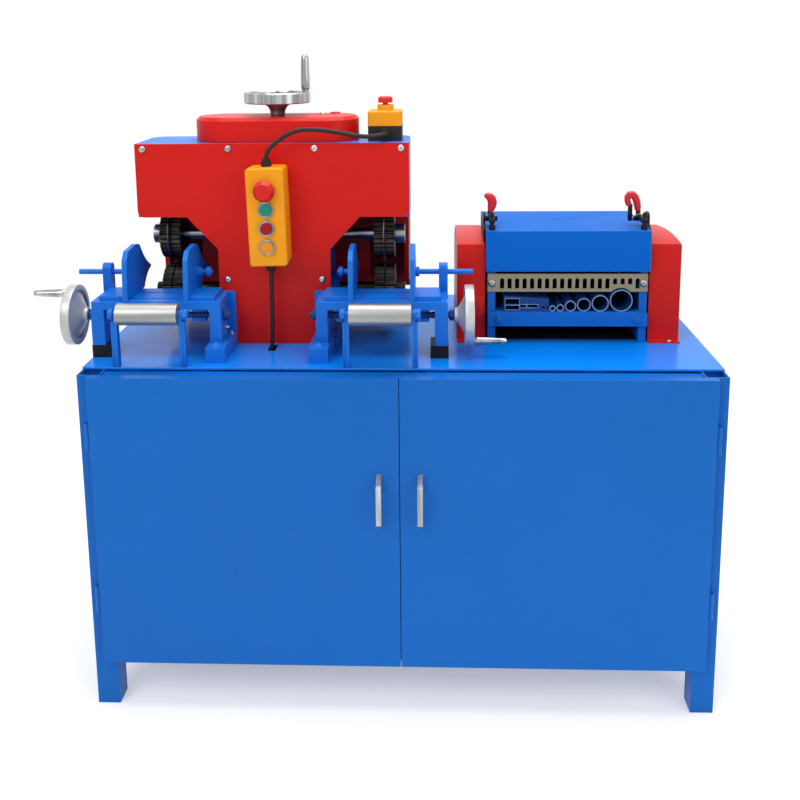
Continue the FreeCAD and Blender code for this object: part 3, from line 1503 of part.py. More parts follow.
def tube_guides():
    """Round guide tubes side by side, and the block with the windows for small wires."""
    shelf = S.crossbar_high + S.tube_shelf
    front, back = S.tube_front, S.tube_front + S.tube_long
    radii = (S.tube_one, S.tube_two, S.tube_three, S.tube_four, S.tube_five, S.tube_six)
    pieces = []
    x = S.tube_first
    for index, radius in enumerate(radii):
        if index:
            x = x - radii[index - 1] - radius - S.tube_space
        pieces.append(tube("y", front, back, (x, shelf + radius), radius, radius - S.tube_wall))
    left, right = S.channel_left, S.channel_right
    windows = [rectangle(left + x1, left + x2, shelf + z1, shelf + z2) for x1, x2, z1, z2 in WINDOWS]
    pieces.append(plate("front", front, back, [[
        (left, shelf), (right, shelf), (right, S.channel_high - S.channel_slope), (left, S.channel_high)]]
        + windows))
    node("tube_guides", *pieces)


def rollers():
    """Bottom and top rollers, geared together, and the blade shaft between them."""
    y = S.knife_y
    left, right = S.side_plate_left, S.side_plate_right
    thick, inset = S.side_plate_thick, S.roller_inset
    shaft = S.small_shaft
    chain_x = small_chain_x()
    body_start, body_end = left + thick + inset, right - thick - inset
    gear_start = S.lid_right + inset
    gear_end = gear_start + S.gear_wide
    gap = S.top_roller_z - S.bottom_roller_z
    gear_radius = (gap + S.gear_mesh) / 2
    half_step = 180.0 / float(S.gear_teeth)
    low = (y, S.bottom_roller_z)
    node("bottom_roller",
         rod("x", chain_x - S.sprocket_wide / 2 - 4.0, gear_end + 4.0, low, shaft),
         tube("x", body_start, body_end, low, S.bottom_roller_radius, shaft),
         sprocket(chain_x, low, shaft),
         toothed_disc(gear_start, gear_end, low, gear_radius, shaft, S.gear_teeth, S.gear_tooth))
    high = (y, S.top_roller_z)
    node("top_roller", rod("x", S.lid_left, gear_end + 4.0, high, shaft),
         tube("x", body_start, body_end, high, S.top_roller_radius, shaft),
         toothed_disc(gear_start, gear_end, high, gear_radius, shaft, S.gear_teeth, S.gear_tooth, half_step))
    mid = (y, S.blade_shaft_z)
    discs = []
    for index in range(int(S.blade_count)):
        x = S.slot_first + S.slot_wide / 2 + S.slot_pitch * (index * 3)
        discs.append(rod("x", x - S.blade_thick / 2, x + S.blade_thick / 2, mid, S.blade_disc))
    node("blade_shaft", fuse(rod("x", S.lid_left, right + inset, mid, shaft), *discs))


def clamps():
    """Two vertical toggle clamps that hold the lid shut: bases, arms and grips."""
    bases = []
    for name, edge, side in (("left", S.lid_left, 1), ("right", S.lid_right, -1)):
        bases.append(clamp(name, edge, side))
    node("clamp_bases", *bases)


def clamp(name, edge, side):
    """One clamp; distances count inwards from the lid's edge."""

    def at(distance):
        return edge + side * distance

    arm_y, arm_z = S.arm_pivot_y, S.arm_pivot_z
    grip_y, grip_z = S.grip_pivot_y, S.grip_pivot_z
    pin, gap = S.clamp_pin, S.running_gap
    lug = S.clamp_lug_half
    base = plate("side", at(-S.clamp_plate), at(0), [[
        (S.clamp_front, S.clamp_low), (S.clamp_back, S.clamp_low), (S.clamp_back, S.lid_top),
        (grip_y + lug, S.lid_top + 6.0), (grip_y + lug, arm_z), Arc(lug, 1), (grip_y, arm_z + lug),
        (arm_y, arm_z + lug), Arc(lug, 1), (arm_y - lug, arm_z), (arm_y - lug, S.lid_top + 6.0),
        (S.clamp_front, S.lid_top)]])
    pins = [rod("x", at(0), at(S.clamp_pin_reach), spot, pin) for spot in ((arm_y, arm_z), (grip_y, grip_z))]
    half_high = S.arm_high / 2
    bar = plate("side", at(S.arm_in), at(S.arm_in + S.arm_wide), [[
        (arm_y, arm_z - half_high), Arc(half_high * 1.0, 1), (arm_y + half_high, arm_z),
        Arc(half_high * 1.0, 1), (arm_y, arm_z + half_high), (S.spindle_y, arm_z + half_high),
        Arc(half_high * 1.0, 1), (S.spindle_y - half_high, arm_z), Arc(half_high * 1.0, 1),
        (S.spindle_y, arm_z - half_high)]], [((arm_y, arm_z), pin + gap)])
    spindle_at = (at(S.arm_in + S.arm_wide / 2), S.spindle_y)
    pad_low = S.lid_top + S.face_gap
    spindle = rod("z", pad_low, S.spindle_top, spindle_at, S.spindle_radius)
    pad = rod("z", pad_low, pad_low + S.pad_high, spindle_at, S.pad_radius)
    node(name + "_clamp_arm", fuse(bar, spindle, pad))
    leg = S.grip_leg_wide / 2
    middle = S.arm_in + S.arm_wide / 2
    pieces = []
    for inwards in (-1, 1):
        near = middle + inwards * (S.grip_wide / 2 - S.grip_prong / 2 - S.grip_leg_thick / 2)
        far = near + inwards * S.grip_leg_thick
        pieces.append(plate("side", at(near), at(far), [[
            (grip_y, grip_z - leg), Arc(leg * 1.0, 1), (grip_y + leg, grip_z),
            (grip_y + leg, S.grip_arch_low), (grip_y - leg, S.grip_arch_low), (grip_y - leg, grip_z),
            Arc(leg * 1.0, 1)]], [((grip_y, grip_z), pin + gap)]))
    half_wide = S.grip_wide / 2
    inner = half_wide - S.grip_prong
    centre = at(middle)
    arch = S.grip_top - half_wide
    grip = plate("front", grip_y - S.grip_deep / 2, grip_y + S.grip_deep / 2, [[
        (centre + inner, S.grip_low), (centre + half_wide, S.grip_low), (centre + half_wide, arch),
        Arc(half_wide * 1.0, 1), (centre, S.grip_top), Arc(half_wide * 1.0, 1), (centre - half_wide, arch),
        (centre - half_wide, S.grip_low), (centre - inner, S.grip_low), (centre - inner, arch),
        Arc(inner * 1.0, -1), (centre, arch + inner), Arc(inner * 1.0, -1), (centre + inner, arch)]])
    node(name + "_clamp_handle", fuse(grip, *pieces))
    return fuse(base, *pins)


def build():
    cabinet_frame()
    table()
    door(-1, "left_door")
    door(1, "right_door")
    drive()
    head_body()
    front_plate()
    exit_hood()
    top_cover()
    lifting_gear()
    feed_train()
    node("foot_blocks", station(-1, "left"), station(1, "right"))
    controls()
    top_stop()
    cables()
    stripper_frame()
    stripper_covers()
    stripper_lid()
    guide_plate()
    tube_guides()
    rollers()
    clamps()
    document.recompute()


def check():
    """Every object has computed, and every sub-part is a sound solid."""
    faults = [f"{thing.Label}: {thing.State}" for thing in document.Objects
              if "Invalid" in thing.State or "Error" in thing.State]
    for label, piece in nodes.items():
        shape = piece.Shape
        if shape.isNull() or not shape.Solids or not shape.isValid():
            faults.append(f"{label}: unsound shape")
    if faults:
        raise RuntimeError("; ".join(faults))


build()
check()
os.makedirs("parts", exist_ok=True)
for label, piece in nodes.items():
    piece.Shape.exportStep(f"parts/{label}.step")
print(len(nodes), "sub-parts written")
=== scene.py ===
import math

import bmesh
import bpy
from mathutils import Matrix, Vector


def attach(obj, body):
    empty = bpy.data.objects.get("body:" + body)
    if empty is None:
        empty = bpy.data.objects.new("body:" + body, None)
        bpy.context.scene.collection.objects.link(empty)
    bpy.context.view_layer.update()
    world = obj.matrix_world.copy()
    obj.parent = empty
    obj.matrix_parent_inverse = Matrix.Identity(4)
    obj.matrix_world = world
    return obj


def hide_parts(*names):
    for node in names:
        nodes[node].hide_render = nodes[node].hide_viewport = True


# Looks of the electric wire stripping machine. Lengths are metres. Places are given in millimetres in
# the cabinet's frame, as in the part's source: X from the cabinet's middle, Y backwards from the front
# of the posts, Z up from the floor. at() turns them into the part's own frame.

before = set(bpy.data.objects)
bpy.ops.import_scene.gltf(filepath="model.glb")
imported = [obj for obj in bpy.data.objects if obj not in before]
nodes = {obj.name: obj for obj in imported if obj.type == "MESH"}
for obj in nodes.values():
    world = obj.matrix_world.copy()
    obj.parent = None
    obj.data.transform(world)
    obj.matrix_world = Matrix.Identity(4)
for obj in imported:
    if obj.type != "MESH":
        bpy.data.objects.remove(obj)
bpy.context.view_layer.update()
scene = bpy.context.scene
scene.view_settings.view_transform = "Standard"

CABINET_MID_X = 55.0
POSTS_FRONT_Y = -237.5
FORWARD, UPWARD = (0, -1, 0), (0, 0, 1)


def at(x, y, z):
    """A place in the cabinet's frame, in millimetres, as a point of the part's frame in metres."""
    return Vector(((x + CABINET_MID_X) / 1000, (y + POSTS_FRONT_Y) / 1000, z / 1000))


def tone(red, green, blue):
    """Screen colour, 0 to 255, as the linear colour that a shader takes."""
    def linear(value):
        value /= 255
        return value / 12.92 if value <= 0.04045 else ((value + 0.055) / 1.055) ** 2.4
    return (linear(red), linear(green), linear(blue), 1.0)


# Materials

class Shader:
    """A material's node tree with short calls for what the materials below share."""

    def __init__(self, name):
        self.material = bpy.data.materials.new(name)
        self.material.use_nodes = True
        self.tree = self.material.node_tree
        self.tree.nodes.clear()
        self.out = self.add("OutputMaterial")
        self.body = self.add("BsdfPrincipled")
        self.join(self.body, "BSDF", self.out, "Surface")
        self.place = self.add("TexCoord")

    def add(self, kind, **values):
        """A new node of a kind, with its settings."""
        item = self.tree.nodes.new("ShaderNode" + kind)
        for key, value in values.items():
            setattr(item, key, value)
        return item

    def join(self, start, socket, end, entry):
        """Links a node's named socket to another node's entry."""
        self.tree.links.new(start.outputs[socket], end.inputs[entry])

    def link(self, source, item, entry):
        """Links a socket to a node's entry."""
        self.tree.links.new(source, item.inputs[entry])

    def noise(self, scale, detail, stretch=(1, 1, 1)):
        """Noise in the object's own coordinates, so that it moves with its body."""
        mapping = self.add("Mapping")
        mapping.inputs["Scale"].default_value = stretch
        self.join(self.place, "Object", mapping, "Vector")
        noise = self.add("TexNoise")
        noise.inputs["Scale"].default_value = scale
        noise.inputs["Detail"].default_value = detail
        self.join(mapping, "Vector", noise, "Vector")
        return noise.outputs["Fac"]

    def ramp(self, source, low, high, start, end):
        """Maps low..high of a value to start..end."""
        item = self.add("MapRange")
        for key, value in (("From Min", low), ("From Max", high), ("To Min", start), ("To Max", end)):
            item.inputs[key].default_value = value
        self.link(source, item, "Value")
        return item.outputs["Result"]

    def mix(self, factor, first, second):
        """Mix of two colours, each a colour or a socket, by a socket."""
        item = self.add("Mix", data_type="RGBA")
        self.link(factor, item, 0)
        for entry, value in ((6, first), (7, second)):
            if isinstance(value, tuple):
                item.inputs[entry].default_value = value
            else:
                self.link(value, item, entry)
        return item.outputs[2]

    def product(self, first, second):
        """A socket times another socket or a number."""
        item = self.add("Math", operation="MULTIPLY")
        self.link(first, item, 0)
        if isinstance(second, float):
            item.inputs[1].default_value = second
        else:
            self.link(second, item, 1)
        return item.outputs["Value"]

    def bump(self, source, strength, distance):
        """Fine relief over the corners that edges() has rounded."""
        item = self.add("Bump")
        item.inputs["Strength"].default_value = strength
        item.inputs["Distance"].default_value = distance
        self.link(source, item, "Height")
        self.join(self.round, "Normal", item, "Normal")
        return item.outputs["Normal"]

    def edges(self, radius):
        """About 1 along outer edges and 0 on flat faces; it also rounds the corners' normals."""
        self.round = self.add("Bevel", samples=4)
        self.round.inputs["Radius"].default_value = radius
        shape = self.add("NewGeometry")
        dot = self.add("VectorMath", operation="DOT_PRODUCT")
        self.join(self.round, "Normal", dot, 0)
        self.join(shape, "Normal", dot, 1)
        return self.ramp(dot.outputs["Value"], 0.99, 0.86, 0.0, 1.0)

    def into(self, socket, entry):
        """Links a socket to the material's own shader."""
        self.link(socket, self.body, entry)

    def set(self, **values):
        """Gives the material's own shader plain values."""
        for key, value in values.items():
            self.body.inputs[key.replace("_", " ")].default_value = value


def shade(colour, factor):
    """The colour made lighter or darker by a factor."""
    return tuple(min(1.0, part * factor) for part in colour[:3]) + (1.0,)


def paint(name, colour, gloss=0.36, peel=0.35, shine=0.2, edge_highlight=0.5, round_by=0.0012):
    """Sprayed enamel on steel: faint orange peel, uneven gloss, soft corners and a painted highlight in pale
    flecks along the edges.
    """
    s = Shader(name)
    mottled = s.mix(s.ramp(s.noise(2.3, 2.0), 0.3, 0.7, 0.0, 1.0), shade(colour, 0.95), shade(colour, 1.05))
    dusty = s.mix(s.ramp(s.noise(38.0, 5.0), 0.52, 0.8, 0.0, 0.10), mottled, shade(colour, 0.6))
    # Painted highlight: the edges turn paler in noisy flecks, as if catching the light.
    highlight_flecks = s.ramp(s.noise(160.0, 4.0), 0.38, 0.62, 0.1 * edge_highlight, edge_highlight)
    pale = tuple(part * 0.8 + 0.14 for part in colour[:3]) + (1.0,)
    s.into(s.mix(s.product(s.edges(round_by), highlight_flecks), dusty, pale), "Base Color")
    s.into(s.ramp(s.noise(11.0, 3.0), 0.3, 0.7, gloss - 0.05, gloss + 0.06), "Roughness")
    s.into(s.bump(s.noise(420.0, 2.0), peel, 0.00006), "Normal")
    s.set(Specular_IOR_Level=shine)
    return s.material


def metal(name, colour, dark, rough, depth, grain=(1, 1, 1), streaks=(1, 1, 1), bright=None, round_by=0.0006,
          metallic=1.0):
    """Machined or polished metal, with a painted highlight along its edges. grain and streaks are smallest
    along the lay of its lines and clouds.
    """
    s = Shader(name)
    lines = s.noise(900.0, 3.0, grain)
    toned = s.mix(s.ramp(s.noise(14.0, 4.0, streaks), 0.35, 0.7, 0.0, 1.0), colour, dark)
    # Painted highlight: the edges turn to the bright colour in noisy flecks, as if catching the light.
    highlit_edges = s.product(s.edges(round_by), s.ramp(s.noise(70.0, 3.0), 0.35, 0.6, 0.35, 1.0))
    s.into(s.mix(highlit_edges, toned, bright or shade(colour, 1.15)), "Base Color")
    s.into(s.ramp(lines, 0.3, 0.7, rough - 0.06, rough + 0.08), "Roughness")
    s.into(s.bump(lines, depth, 0.00003), "Normal")
    s.set(Metallic=metallic)
    return s.material


def plastic(name, colour, rough=0.42, grit=0.3):
    """Moulded plastic with a fine spark-eroded grain and a painted highlight in pale flecks along its edges.
    """
    s = Shader(name)
    body = s.mix(s.ramp(s.noise(9.0, 2.0), 0.3, 0.7, 0.0, 1.0), shade(colour, 0.95), shade(colour, 1.05))
    # Painted highlight: the edges turn paler in noisy flecks, as if catching the light.
    pale_edge_glint = s.product(s.edges(0.001), s.ramp(s.noise(120.0, 3.0), 0.35, 0.65, 0.1, 0.5))
    pale = tuple(part * 0.85 + 0.08 for part in colour[:3]) + (1.0,)
    s.into(s.mix(pale_edge_glint, body, pale), "Base Color")
    grain = s.noise(1300.0, 2.0)
    s.into(s.ramp(grain, 0.3, 0.7, rough - 0.05, rough + 0.07), "Roughness")
    s.into(s.bump(grain, grit, 0.00004), "Normal")
    s.set(Specular_IOR_Level=0.3)
    return s.material


BLUE = paint("cabinet_blue", tone(14, 103, 192), shine=0.16)
# The table's top plate: a lighter blue than the cabinet's, painted light from above.
TABLE = paint("table_blue_painted_light", tone(8, 130, 236), gloss=0.2, shine=0.25, edge_highlight=0.9, round_by=0.002)
LID = paint("lid_blue", tone(4, 98, 194), gloss=0.5, shine=0.08, edge_highlight=0.9, round_by=0.0025)
RED = paint("head_red", tone(204, 22, 16))
# The exit hood: the head's red made darker, painted shade for the hood's shaded inside.
SHADED_RED = paint("hood_red_painted_shade", tone(168, 20, 18), gloss=0.42)
STATION = paint("station_blue", tone(16, 112, 212), peel=0.6, edge_highlight=0.9)
KHAKI = paint("guide_khaki", tone(150, 140, 112), gloss=0.5, edge_highlight=0.9)
TUBES = paint("tube_blue", tone(20, 62, 124), gloss=0.4, edge_highlight=1.0)
BLACK_PAINT = paint("black_paint", tone(16, 17, 22), gloss=0.45, edge_highlight=0.4)
# Pale rims on the guide tubes and windows: a painted highlight.
RIM_GLINT = paint("rim_painted_highlight", tone(128, 160, 204), gloss=0.4, edge_highlight=0.6)
# Near-black for the stripper bay's back sheet and tray: painted shade.
SHADE_BLACK = paint("painted_shade_black", tone(8, 12, 24), gloss=0.6, edge_highlight=0.2)
# The feed wheels' bright colour is a painted highlight on their tooth edges.
WHEELS = metal("wheel_steel", tone(58, 53, 48), tone(26, 23, 22), 0.42, 0.4, bright=tone(176, 170, 158),
               round_by=0.0005)
SHAFTS = metal("shaft_steel", tone(164, 164, 165), tone(92, 92, 95), 0.28, 0.25, (60, 1, 1))
ROLLERS = metal("roller_steel", tone(176, 177, 176), tone(140, 141, 142), 0.4, 0.3, (30, 1, 1), (0.3, 1, 3),
                metallic=0.85)
CHAIN = metal("chain_steel", tone(66, 64, 62), tone(30, 29, 28), 0.4, 0.5)
CHROME = metal("bright_metal", tone(190, 191, 194), tone(112, 114, 118), 0.18, 0.08, streaks=(4, 4, 0.4))
CAST = metal("cast_rim", tone(196, 197, 196), tone(160, 162, 163), 0.36, 0.2, metallic=0.4)
# The top wheel's rim: its dark and pale streaks, unchanged along its height, are painted reflections.
RIM = metal("rim_painted_reflections", tone(200, 201, 202), tone(84, 86, 90), 0.24, 0.2, streaks=(5, 5, 0), metallic=0.8)
YELLOW = plastic("station_yellow", tone(240, 156, 8))
BLACK = plastic("black_plastic", tone(22, 22, 24), 0.5)
RUBBER = plastic("cable_rubber", tone(40, 29, 27), 0.55, 0.5)
RED_CAP = plastic("red_cap", tone(206, 26, 22), 0.3, 0.15)
DARK_RED_CAP = plastic("dark_red_cap", tone(150, 8, 12), 0.3, 0.15)
GREEN_CAP = plastic("green_cap", tone(16, 132, 108), 0.3, 0.15)
YELLOW_CAP = plastic("yellow_cap", tone(226, 140, 18), 0.3, 0.15)
GRIP_RED = plastic("grip_red", tone(206, 34, 48), 0.35, 0.3)

LOOKS = {
    BLUE: ["cabinet_frame", "left_door", "right_door", "stripper_frame"],
    TABLE: ["table_plate"],
    LID: ["stripper_lid"],
    RED: ["front_plate", "top_cover", "stripper_covers"],
    SHADED_RED: ["exit_hood"],
    STATION: ["head_column", "head_casing", "left_station", "right_station", "left_inner_jaw",
              "left_outer_jaw", "right_inner_jaw", "right_outer_jaw", "bearing_carriage", "shaft_bearings",
              "drive_motor"],
    TUBES: ["tube_guides"],
    KHAKI: ["guide_plate"],
    BLACK_PAINT: ["foot_blocks", "clamp_bases", "left_clamp_arm", "right_clamp_arm"],
    WHEELS: ["upper_feed_wheels", "lower_feed_shaft", "top_roller", "bottom_roller", "blade_shaft"],
    SHAFTS: ["cutter_shaft", "line_shaft"],
    ROLLERS: ["left_front_roller", "right_front_roller"],
    CHAIN: ["drive_chains"],
    CHROME: ["top_handwheel", "top_crank_handle", "left_crank_handle", "right_crank_handle",
             "control_bezels", "left_door_handle", "right_door_handle"],
    CAST: ["left_handwheel", "right_handwheel"],
    YELLOW: ["control_box", "top_estop_lid"],
    BLACK: ["top_estop_base", "cable_glands"],
    RED_CAP: ["estop_button", "top_estop_button"],
    DARK_RED_CAP: ["red_button"],
    GREEN_CAP: ["green_button"],
    YELLOW_CAP: ["yellow_button"],
    GRIP_RED: ["left_clamp_handle", "right_clamp_handle"],
}
for look, names in LOOKS.items():
    for name in names:
        item = nodes[name]
        item.data.materials.clear()
        item.data.materials.append(look)


# Pieces

SHARP = math.radians(34)


class Form:
    """Closed shapes gathered in one mesh. Places and sizes are the cabinet's, in millimetres."""

    def __init__(self, name, body, look, slot):
        self.name, self.body, self.look, self.slot = name, body, look, slot
        self.mesh = bmesh.new()

    def slab(self, x, y, z, soft):
        """A block between three pairs of places, with rounded edges."""
        made = bmesh.ops.create_cube(self.mesh, size=1.0)["verts"]
        for vert in made:
            vert.co = at(*(low + (part + 0.5) * (high - low)
                           for part, (low, high) in zip(vert.co, (x, y, z))))
        edges = list({edge for vert in made for edge in vert.link_edges})
        bmesh.ops.bevel(self.mesh, geom=edges, offset=soft / 1000, segments=2, profile=0.5, affect="EDGES")

    def rings(self, rings, loop=False):
        """Faces between rings of points; a ring of one point closes an end."""
        rows = [[self.mesh.verts.new(at(*place)) for place in ring] for ring in rings]
        count = max(len(row) for row in rows)
        for first, second in list(zip(rows, rows[1:])) + ([(rows[-1], rows[0])] if loop else []):
            for step in range(count):
                after = (step + 1) % count
                corners = []
                for row, places in ((first, (step, after)), (second, (after, step))):
                    corners += [row[0]] if len(row) == 1 else [row[place] for place in places]
                self.mesh.faces.new(corners)

    def turned(self, start, axis, outline, sides, loop=False, twist=0.0):
        """A shape turned round an axis from start; outline is (radius, distance along) in order."""
        axis = Vector(axis).normalized()
        across = axis.orthogonal().normalized()
        other = axis.cross(across)
        rings = []
        for radius, along in outline:
            middle = Vector(start) + axis * along
            turns = [math.tau * step / sides + twist for step in range(sides)]
            rings.append([middle] if radius < 1e-6 else [
                middle + radius * (math.cos(turn) * across + math.sin(turn) * other) for turn in turns])
        self.rings(rings, loop)

    def strap(self, route, low, high):
        """A rounded bar between two depths. route is (x, z, width) along its middle line."""
        section = ((-0.5, -0.25), (-0.28, -0.5), (0.28, -0.5), (0.5, -0.25),
                   (0.5, 0.25), (0.28, 0.5), (-0.28, 0.5), (-0.5, 0.25))
        middle, deep = (low + high) / 2, high - low
        rings = []
        for step, (x, z, wide) in enumerate(route):
            before, after = route[max(step - 1, 0)], route[min(step + 1, len(route) - 1)]
            along = Vector((after[0] - before[0], after[1] - before[1])).normalized()
            rings.append([(x - along.y * u * wide, middle + v * deep, z + along.x * u * wide)
                          for u, v in section])
        ends = [[(route[end][0], middle, route[end][1])] for end in (0, -1)]
        self.rings([ends[0]] + rings + [ends[1]])

    def screw_head(self, place, axis, radius, high):
        """A button head with its socket."""
        self.turned(place, axis, [(radius * across, high * along) for across, along in (
            (0, 0), (1, 0), (1, 0.22), (0.93, 0.5), (0.78, 0.78), (0.58, 0.95), (0.44, 1), (0.42, 1),
            (0.42, 0.45), (0, 0.45))], 28)

    def bolt_head(self, place, axis, radius, high):
        """A chamfered hexagon head on its washer."""
        thick = 1.4
        self.turned(place, axis, [(0, 0), (radius * 1.25, 0), (radius * 1.25, 1.1), (radius * 1.2, thick),
                                  (0, thick)], 32)
        self.turned(place, axis, [(0, thick), (radius, thick), (radius, thick + high * 0.82),
                                  (radius * 0.88, thick + high), (0, thick + high)], 6, twist=0.3)

    def dome_head(self, place, axis, radius, high):
        """A round head on a wide washer."""
        thick = 1.7
        self.turned(place, axis, [(0, 0), (radius * 1.4, 0), (radius * 1.4, 1.2), (radius * 1.32, thick),
                                  (0, thick)], 36)
        arc = [(radius * math.cos(step * math.pi / 16), thick + high * math.sin(step * math.pi / 16))
               for step in range(8)]
        self.turned(place, axis, [(0, thick)] + arc + [(0, thick + high)], 32)

    def thread(self, start, axis, first, last, radius, pitch):
        """A grooved length of screw between two distances along the axis."""
        turns = int(abs(last - first) / pitch)
        step = (last - first) / turns
        outline = [(0, first)]
        for turn in range(turns):
            base = first + turn * step
            outline += [(radius, base), (radius, base + 0.45 * step), (0.88 * radius, base + 0.6 * step),
                        (0.88 * radius, base + 0.85 * step)]
        self.turned(start, axis, outline + [(radius, last), (0, last)], 28)

    def done(self, stands_for=None):
        """Puts the finished object on its body, with sharp edges kept and the rest smooth."""
        bmesh.ops.recalc_face_normals(self.mesh, faces=self.mesh.faces)
        for face in self.mesh.faces:
            face.smooth = True
        for edge in self.mesh.edges:
            edge.smooth = len(edge.link_faces) == 2 and edge.calc_face_angle() < SHARP
        data = bpy.data.meshes.new(self.name)
        self.mesh.to_mesh(data)
        self.mesh.free()
        data.materials.append(self.look)
        piece = bpy.data.objects.new(self.name, data)
        scene.collection.objects.link(piece)
        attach(piece, self.body)
        if stands_for:
            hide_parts(stands_for)


# Head: plate screws, fittings on the top cover and the second stop's cap

PLATE_FRONT = 166.0
HEAD_X = -232.5
SHAFT_Y = 238.0
COVER_TOP = 1043.0
screws = Form("plate_screws", "machine", CHROME, "bright_metal")
for off, z in ((233.5, 988.3), (78.0, 988.3), (87.0, 747.0)):
    for side in (-1, 1):
        screws.screw_head((HEAD_X + side * off, PLATE_FRONT, z), FORWARD, 6.5, 3.4)
screws.turned((-149.7, 264.8, COVER_TOP), UPWARD, [
    (0, 0), (4.6, 0), (4.6, 1.2), (3.8, 2.6), (2.2, 3.5), (0, 3.8)], 24)
screws.done()
boss = Form("cover_boss", "machine", RED, "red_paint")
boss.turned((-127.0, 286.5, COVER_TOP), UPWARD, [(0, 0), (9.5, 0), (9.5, 1.4), (8.6, 2.2), (0, 2.4)], 36)
boss.done()

cap = Form("stop_cap", "top_estop_button", RED_CAP, "red_plastic")
cap.turned((-29.0, 233.0, 0), UPWARD, [
    (0, 1065.8), (12.8, 1065.8), (13.5, 1066.6), (13.5, 1072.6), (12.8, 1075.0), (10.6, 1076.6),
    (0, 1077.0)], 40)
cap.done()

# Guide stations

SCREW_Y, SCREW_Z = 108.0, 697.0
PIN_Y, PIN_Z = 37.0, 718.0
ARM_OUT = 59.6
RAIL_TOP = 652.0
SIDE_RIM = [
    (0, 128.0), (11.0, 128.0), (12.6, 129.2), (13.4, 132.6), (16.5, 136.2), (31.5, 145.0), (43.5, 150.6),
    (44.6, 149.6), (44.9, 147.0), (45.6, 146.2), (52.8, 146.0), (53.7, 146.3), (54.0, 147.2), (54.0, 160.8),
    (53.7, 161.7), (52.8, 162.0), (46.0, 162.0), (45.0, 161.4), (44.5, 160.0), (43.6, 156.6), (30.0, 150.6),
    (17.0, 146.4), (12.4, 146.2), (11.6, 147.2), (11.4, 151.2), (10.6, 152.0), (0, 152.0)]
GRIP = [(0, 162.6), (5.4, 162.6), (6.6, 164.2), (7.1, 168.0), (7.1, 176.0), (6.4, 194.0), (5.4, 211.0),
        (5.1, 217.0), (4.3, 219.2), (2.6, 220.0), (0, 220.0)]


def station(name, out):
    """Fixings, dished wheel, lead screw and grip of the station whose wheel stands on the out side."""
    middle = HEAD_X + out * 200.0
    axis, inward, spot = (out, 0, 0), (-out, 0, 0), (middle, SCREW_Y, SCREW_Z)

    def x(offset):
        return middle + out * offset

    # On each roller arm a washer, a nut and the arm's outer half
    fixings = Form(name + "_fixings", "machine", STATION, "station_paint")
    for side in (-1, 1):
        arm = x(side * ARM_OUT)
        pin, outward = (arm, PIN_Y, PIN_Z), (side * out, 0, 0)
        fixings.turned(pin, outward, [(6.4, 0), (11.2, 0), (11.2, 1.3), (6.4, 1.3)], 32, loop=True)
        fixings.turned(pin, outward, [(0, 3.2), (6.4, 3.2), (6.4, 1.3), (9.6, 1.3), (9.6, 8.2), (8.5, 9.4),
                                      (0, 9.4)], 6, twist=0.4)
        fixings.slab(sorted((arm, x(side * (ARM_OUT + 4.8)))), (PIN_Y - 6.4, PIN_Y + 6.4),
                     (626.2, 706.4), 0.9)
    fixings.dome_head((x(-109.5), 66.0, RAIL_TOP), UPWARD, 7.8, 5.2)
    fixings.bolt_head((x(-115.5), 116.0, 690.0), inward, 6.5, 5.0)
    fixings.done()
    bolts = Form(name + "_bolts", "machine", CHROME, "bright_metal")
    bolts.bolt_head((x(-121.0), 145.0, RAIL_TOP), UPWARD, 4.0, 4.0)
    bolts.bolt_head((x(-115.5), 128.0, 668.0), inward, 3.6, 3.4)
    bolts.done()

    # The wheel with its grip's boss, the screw with its opposed threads and end collar, and the grip
    wheel = Form(name + "_wheel", name + "_screw", CAST, "cast_aluminium")
    wheel.turned(spot, axis, SIDE_RIM, 72)
    place = (middle, SCREW_Y - 14.0, SCREW_Z - out * 43.0)
    wheel.turned(place, axis, [(0, 149.0), (7.6, 149.0), (7.6, 161.0), (6.8, 162.2), (0, 162.2)], 32)
    wheel.done(name + "_handwheel")
    screw = Form(name + "_lead_screw", name + "_screw", TUBES, "tube_paint")
    screw.turned(spot, axis, [(0, 90.0), (6.0, 90.0), (6.0, 129.0), (0, 129.0)], 32)
    screw.turned(spot, axis, [(0, 119.0), (10.4, 119.0), (10.4, 126.0), (9.4, 127.4), (0, 127.4)], 6,
                 twist=0.2)
    screw.thread(spot, axis, 90.0, 12.0, 6.0, 5.0)
    screw.thread(spot, axis, -12.0, -90.0, 6.0, 5.0)
    screw.turned(spot, axis, [(0, 12.0), (5.2, 12.0), (5.2, -12.0), (0, -12.0)], 28)
    screw.turned(spot, axis, [(0, -90.0), (6.0, -90.0), (6.0, -115.8), (9.4, -115.8), (10.0, -116.6),
                              (10.0, -122.7), (9.4, -123.5), (6.0, -123.5), (6.0, -128.7), (5.2, -129.5),
                              (0, -129.5)], 32)
    screw.done(name + "_handwheel")
    grip = Form(name + "_grip", name + "_crank", CHROME, "bright_metal")
    grip.turned(place, axis, GRIP, 36)
    grip.done(name + "_crank_handle")


station("left", -1)
station("right", 1)

# Top handwheel with its screw and grip

